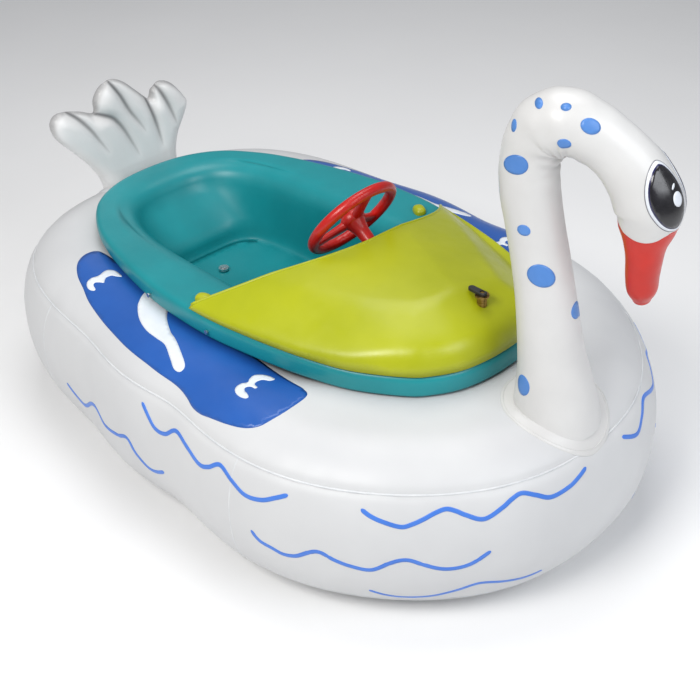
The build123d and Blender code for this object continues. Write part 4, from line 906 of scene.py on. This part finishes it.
def ring_at(r, inset=0.0):
    q = CX + (r)[:, None] * np.stack([np.cos(ka), np.sin(ka)], 1)
    if np.any(inset):
        T = np.roll(q, -1, 0) - np.roll(q, 1, 0)
        n = np.stack([-T[:, 1], T[:, 0]], 1)
        n /= np.linalg.norm(n, axis=1, keepdims=True)
        q = q + n * inset
    return q


R_C = polar(coam_loop)
R_O = polar(super_loop(-0.668, 0.520, 0.226, 3.4))
R_S = polar(super_loop(-0.556, 0.520, 0.2165, 5.0))


def deck_z(x):
    f = np.clip(-(x - 0.05) / 0.85, 0, 1)
    return 0.5145 - 0.020 * f * f * (3 - 2 * f)


SEAT_Z = 0.279
R_O2 = np.minimum(R_O, R_C - 0.088)
for _ in range(6):
    R_O2 = 0.25 * np.roll(R_O2, 1) + 0.5 * R_O2 + 0.25 * np.roll(R_O2, -1)


def lay(q, z):
    return np.stack([q[:, 0], q[:, 1], np.broadcast_to(z, (len(q),))], 1)


def deck_ring(q, drop):
    return lay(q, deck_z(q[:, 0]) - drop)


rings = [lay(ring_at(R_C, 0.016), 0.4590), lay(ring_at(R_C, 0.004), 0.4600), lay(ring_at(R_C, 0.0006), 0.4625), lay(ring_at(R_C), 0.468)]
rings += [deck_ring(ring_at(R_C, -0.0010), 0.018), deck_ring(ring_at(R_C, 0.0), 0.013), deck_ring(ring_at(R_C, 0.0018), 0.0075),
          deck_ring(ring_at(R_C, 0.0055), 0.0028), deck_ring(ring_at(R_C, 0.011), 0.0006), deck_ring(ring_at(R_C, 0.018), 0.0)]
for f in (0.25, 0.5, 0.75):
    far = R_O2 + 0.052
    rings.append(deck_ring(CX + ((R_C - 0.018) * (1 - f) + far * f)[:, None] * np.stack([np.cos(ka), np.sin(ka)], 1), 0.003 * f))
for out, drop in ((0.052, 0.0045), (0.040, 0.0075), (0.029, 0.0125), (0.019, 0.0195), (0.011, 0.0295), (0.004, 0.043), (0.0, 0.058)):
    rings.append(deck_ring(ring_at(R_O2, -out), drop))
mouth = ring_at(R_O2)
seat0 = ring_at(R_S)
for f in (0.2, 0.4, 0.6, 0.8, 1.0):
    q = mouth * (1 - f) + seat0 * f
    z0 = deck_z(mouth[:, 0]) - 0.058
    g = f ** 1.0
    rings.append(np.stack([q[:, 0], q[:, 1], z0 * (1 - g) + (SEAT_Z + 0.045) * g], 1))
for ins, h in ((0.0012, 0.028), (0.0035, 0.014), (0.0070, 0.005), (0.0115, 0.0)):
    rings.append(lay(ring_at(R_S, ins), SEAT_Z + h))
tub = Build()
tub.grid(np.array(rings), False, True)
seat_ring = rings[-1][:, :2]

side_line = super_loop(-0.5435, 0.5075, 0.2035, 5.0, 900)
side_line = side_line[side_line[:, 0] > -0.116]
side_line = side_line[np.argsort(np.arctan2(side_line[:, 1], side_line[:, 0] - 0.15))][::3]
y1 = side_line[-1][1]
corner = np.linspace(0, math.pi / 2, 10)[1:]
cr1 = np.stack([-0.116 - 0.032 * np.sin(corner), y1 - 0.032 * (1 - np.cos(corner))], 1)
mid = np.stack([np.full(30, -0.148), np.linspace(y1 - 0.032, -(y1 - 0.032), 32)[1:-1]], 1)
foot0 = np.concatenate([side_line, cr1, mid, cr1[::-1] * [1, -1]])
V, F = fill(seat_ring, 0.016, [foot0])
# shallow dish of the seat pan, level at its edges
dish = np.clip(1 - ((V[:, 0] + 0.36) / 0.19) ** 2, 0, 1) * np.clip(1 - (V[:, 1] / 0.17) ** 2, 0, 1)
tub.tris(np.stack([V[:, 0], V[:, 1], SEAT_Z - 0.009 * dish ** 1.2], 1), F)


def foot_ring(g, z):
    T = np.roll(foot0, -1, 0) - np.roll(foot0, 1, 0)
    n = np.stack([-T[:, 1], T[:, 0]], 1)
    return lay(foot0 + n / np.linalg.norm(n, axis=1, keepdims=True) * g, z)


fr = [lay(foot0, SEAT_Z)] + [foot_ring(a, b) for a, b in ((0.0008, SEAT_Z - 0.0015), (0.0012, SEAT_Z - 0.007), (0.0014, SEAT_Z - 0.016),
                                                       (0.0020, 0.16), (0.0045, 0.045), (0.0080, 0.026), (0.0150, 0.013), (0.0240, 0.0075))]
tub.grid(np.array(fr), False, True)
well0 = super_loop(0.037, 0.4635, 0.0795, 12.0, 200)
V, F = fill(fr[-1][:, :2], 0.02, [well0])
tub.tris(lay(V, 0.0075), F)


def well_ring(g, z):
    return lay(super_loop(0.037 + g, 0.4635 - g, 0.0795 - g, 12.0, 200), z)


wr = [lay(well0, 0.0075)] + [well_ring(a, b) for a, b in ((0.0, 0.20), (0.0, 0.445), (0.002, 0.458), (0.007, 0.466), (0.016, 0.4697))]
tub.grid(np.array(wr), False, True)
V, F = fill(wr[-1][:, :2], 0.02)
tub.tris(lay(V, 0.4697), F)
tub_skin = tub.obj("tub_skin", M["teal"], 4e-5)
up_faces = [p.normal.z for p in tub_skin.data.polygons if p.center.z > 0.49 and abs(p.center.y) > 0.28]
solidify(tub_skin, 0.0045, -1.0 if sum(up_faces) > 0 else 1.0)
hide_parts("cockpit_tub")
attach(tub_skin, "hull")

# ---- hood ------------------------------------------------------------------------------------
HOOD_Z0 = 0.5165


def rear_x(y):
    y = np.asarray(y, float)
    return np.where(y < 0, 0.199 - 0.232 * (np.abs(y) / 0.39) ** 1.75, 0.199 - 0.146 * (np.abs(y) / 0.39) ** 2.9)


hs = []
n = 360
cl = coam_loop
k0 = [p for p in cl if p[0] > rear_x(p[1]) + 0.0]
front = np.array(sorted(k0, key=lambda p: math.atan2(p[1], p[0] - 0.1)))
yr = np.linspace(front[-1][1], front[0][1], 110)[1:-1]
rear = np.stack([rear_x(yr), yr], 1)
hood_loop = np.concatenate([front, rear])
edge_front = front


def line_dist(q, P):
    d = np.full(len(q), 9e9)
    for i in range(len(P) - 1):
        d = np.minimum(d, seg_dist(q, P[i], P[i + 1]))
    return d


def smin(a, b, k):
    h = np.clip(0.5 + 0.5 * (b - a) / k, 0, 1)
    return b * (1 - h) + a * h - k * h * (1 - h)


def beyond(q, a, b, k=0.003):
    """Soft distance past the line a-b, to its left."""
    a, b = np.array(a), np.array(b)
    n = np.array([-(b - a)[1], (b - a)[0]]) / np.linalg.norm(b - a)
    d = (q - a) @ n
    return k * np.logaddexp(0, d / k)


def hood_height(q):
    x, y = q[:, 0], q[:, 1]
    ay = np.abs(y)
    zc = np.interp(x, [-0.05, 0.10, 0.20, 0.35, 0.50, 0.56, 0.63], [0.630, 0.642, 0.6445, 0.643, 0.639, 0.6375, 0.634])
    z = zc - 0.088 * ay ** 2 / 0.16
    # folds that bound the raised middle panel
    z = z - 0.115 * beyond(q, (0.174, 0.106), (0.531, -0.046))
    z = z - 0.10 * beyond(q, (0.50, -0.20), (0.129, -0.249), 0.005)
    # shoulders that run in to the bow
    z = z - 0.46 * beyond(q, (0.10, 0.345), (0.60, 0.045), 0.0045)
    z = z - 0.30 * beyond(q, (0.60, -0.085), (0.08, -0.355), 0.008)
    d = line_dist(q, edge_front)
    skirt = HOOD_Z0 + 0.004 + 0.040 * (1 - np.exp(-d / 0.010)) * np.interp(x, [0.0, 0.3, 0.5, 0.63], [0.45, 0.70, 1.1, 1.3]) + 0.55 * d
    z = np.maximum(smin(z, skirt, 0.009), HOOD_Z0 + 0.0035)
    flat = np.clip(d / 0.004, 0, 1)
    return HOOD_Z0 + (z - HOOD_Z0) * flat ** 0.8


extra = []
P = front
T = np.gradient(P, axis=0)
N2 = np.stack([-T[:, 1], T[:, 0]], 1)
N2 /= np.linalg.norm(N2, axis=1, keepdims=True)
ok = []
for ins in (0.004, 0.009, 0.015, 0.022, 0.030):
    q = P + N2 * ins
    q = q[(q[:, 0] > rear_x(q[:, 1]) + 0.004) & inside(hood_loop, q)]
    dd = line_dist(q, front)
    extra.append(q[np.abs(dd - ins) < 0.0012])
V, F = fill(hood_loop, 0.0065, extra=np.concatenate(extra))
z = hood_height(V)
hood = Build()
hood.tris(np.stack([V[:, 0], V[:, 1], z], 1), F)
hood_skin = hood.obj("hood_skin", M["lime"], 1e-5)
up_faces = [p.normal.z for p in hood_skin.data.polygons if p.center.z > 0.60]
solidify(hood_skin, 0.0035, -1.0 if sum(up_faces) > 0 else 1.0)
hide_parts("hood")
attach(hood_skin, "hood")
# rolled bead along the rear edge
bd = Build()
yy = np.linspace(front[-1][1] * 0.985, front[0][1] * 0.985, 160)
q = np.stack([rear_x(yy) + 0.002, yy], 1)
bd.tube(np.concatenate([q, (hood_height(q) - 0.0015)[:, None]], 1), 0.0042, 10)
hb = bd.obj("hood_edge_bead", M["lime"])
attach(hb, "hood")
# rounded lugs that the hood's rear corners rest against
lug = Build()
for lx, ly, ang in ((-0.052, -0.352, 0.35), (0.026, 0.336, -0.45)):
    uu = np.linspace(0, 2 * math.pi, 40, endpoint=False)
    ww = np.linspace(-0.25, math.pi / 2, 16)
    UU, WW = np.meshgrid(uu, ww, indexing="ij")
    ex, ey, ez = 0.023, 0.0165, 0.0165
    cx = ex * np.sign(np.cos(UU)) * np.abs(np.cos(UU)) ** 0.75 * np.clip(np.cos(WW), 0, 1) ** 0.8
    cy = ey * np.sign(np.sin(UU)) * np.abs(np.sin(UU)) ** 0.75 * np.clip(np.cos(WW), 0, 1) ** 0.8
    cz = ez * np.sign(np.sin(WW)) * np.abs(np.sin(WW)) ** 0.8
    g = np.stack([lx + cx * math.cos(ang) - cy * math.sin(ang), ly + cx * math.sin(ang) + cy * math.cos(ang), 0.5145 + cz], -1)
    lug.grid(np.moveaxis(g, 0, 1), False, True)
    lug.fan(g[:, 0], g[:, 0].mean(0))
lugs = lug.obj("hood_lugs", M["lime"], 1e-5)
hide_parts("hood_cleats")
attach(lugs, "hull")

# ---- steering wheel ----------------------------------------------------------------------------
cd, sd = math.cos(math.radians(34)), math.sin(math.radians(34))
WC = np.array([0.120, 0.0, 0.667])
AX = np.array([cd, 0, -sd])           # down the column, towards the bow
UY = np.array([0.0, 1.0, 0.0])
UT = np.array([sd, 0, cd])
sw = Build()
u = np.linspace(0, 2 * math.pi, 160, endpoint=False)
vv = np.linspace(0, 2 * math.pi, 28, endpoint=False)
U, Vv = np.meshgrid(u, vv, indexing="ij")
grip = 0.0138 - 0.0006 * np.cos(U * 24) * (np.sin(Vv - math.pi) > -0.2) * np.clip(-np.cos(Vv), 0, 1)
rad = 0.119 + grip * np.cos(Vv)
h = grip * np.sin(Vv)
sw.grid(WC + rad[..., None] * (np.cos(U)[..., None] * UY + np.sin(U)[..., None] * UT) + h[..., None] * AX, True, True)
for a in (90, 210, 330):
    e = math.cos(math.radians(a)) * UY + math.sin(math.radians(a)) * UT
    f = -math.sin(math.radians(a)) * UY + math.cos(math.radians(a)) * UT
    s = np.linspace(0.012, 0.116, 22)
    wdt = 0.0125 + 0.006 * np.exp(-(s - 0.012) / 0.022) + 0.0045 * np.exp(-(0.116 - s) / 0.010)
    tk = 0.0085 + 0.005 * np.exp(-(s - 0.012) / 0.02)
    lift = 0.006 * np.clip(1 - s / 0.11, 0, 1)
    c = WC + s[:, None] * e + lift[:, None] * AX
    r = np.linspace(0, 2 * math.pi, 20, endpoint=False)
    cr_, sr_ = np.cos(r), np.sin(r)
    sq = np.stack([np.sign(cr_) * np.abs(cr_) ** 0.7, np.sign(sr_) * np.abs(sr_) ** 0.7], 1)
    g = c[:, None] + sq[None, :, 0, None] * wdt[:, None, None] * f + sq[None, :, 1, None] * tk[:, None, None] * AX
    sw.grid(g, False, True)
    sw.fan(g[0], c[0])
    sw.fan(g[-1], c[-1])
prof = [(0.0, -0.026), (0.010, -0.0255), (0.018, -0.0235), (0.0235, -0.018), (0.026, -0.010), (0.0305, -0.008), (0.0325, 0.0), (0.0315, 0.010),
        (0.027, 0.016), (0.0235, 0.024), (0.0205, 0.034), (0.0185, 0.043), (0.0175, 0.055), (0.0165, 0.075), (0.0160, 0.086), (0.0140, 0.0885), (0.0, 0.089)]
pr = smooth_line(prof, 4)
g = np.stack([WC + z_ * AX + r_ * (np.cos(u)[:, None] * UY + np.sin(u)[:, None] * UT) for r_, z_ in pr])
sw.grid(g[1:-1], False, True)
sw.fan(g[1], WC + pr[0][1] * AX)
sw.fan(g[-2], WC + pr[-1][1] * AX)
wheel = sw.obj("steering_wheel_moulding", M["red"], 1e-6)
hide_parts("steering_wheel", "hub_cap")
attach(wheel, "steering")

# ---- floor, light, camera -----------------------------------------------------------------------
fm, nt, b = principled("studio_floor")
n1 = noise(nt, 1.5, 3.0)
r1 = ramp(nt, n1.outputs["Fac"], [(0.3, (0.86, 0.86, 0.86)), (0.7, (0.88, 0.88, 0.88))])
nt.links.new(r1.outputs["Color"], b.inputs["Base Color"])
b.inputs["Roughness"].default_value = 0.65
b.inputs["Specular IOR Level"].default_value = 0.2
s = 14.0
floor = make("studio_floor", [(-s, -s, -0.001), (s, -s, -0.001), (s, s, -0.001), (-s, s, -0.001)], [(0, 1, 2, 3)], fm, False)

world = bpy.data.worlds.new("studio")
bpy.context.scene.world = world
world.use_nodes = True
bg = world.node_tree.nodes["Background"]
bg.inputs["Color"].default_value = (0.93, 0.95, 1.0, 1)
bg.inputs["Strength"].default_value = 0.30


def area(name, loc, look, size, energy, color):
    d = bpy.data.lights.new(name, "AREA")
    d.shape = "RECTANGLE"
    d.size, d.size_y = size
    d.energy = energy
    d.color = color
    o = link(bpy.data.objects.new(name, d))
    o.location = loc
    o.rotation_euler = (Vector(look) - Vector(loc)).to_track_quat("-Z", "Y").to_euler()
    return o


area("key", (0.6, -3.2, 3.6), (0, 0, 0.3), (2.2, 1.6), 135, (1.0, 0.985, 0.96))
area("fill", (3.4, 0.2, 2.6), (0.0, 0, 0.4), (2.4, 2.0), 62, (0.93, 0.96, 1.0))
area("top", (-0.6, 0.6, 4.2), (0, 0, 0.3), (2.4, 2.4), 62, (1.0, 1.0, 1.0))

cam = bpy.data.cameras.new("camera")
cam.sensor_width = 36.0
cam.lens = 36.0 * 1233.08 / 700.0
cam.dof.use_dof = False
cam.clip_end = 100
co = link(bpy.data.objects.new("camera", cam))
X = Vector((0.6859, 0.7268, -0.0345)).normalized()
Z = -Vector((-0.6062, 0.5446, -0.5796)).normalized()
Y = Z.cross(X).normalized()
X = Y.cross(Z).normalized()
co.matrix_world = Matrix(((X[0], Y[0], Z[0], 2.1054), (X[1], Y[1], Z[1], -1.8099), (X[2], Y[2], Z[2], 2.1768), (0, 0, 0, 1)))
bpy.context.scene.camera = co
bpy.context.scene.view_settings.view_transform = "Standard"

bpy.context.view_layer.update()
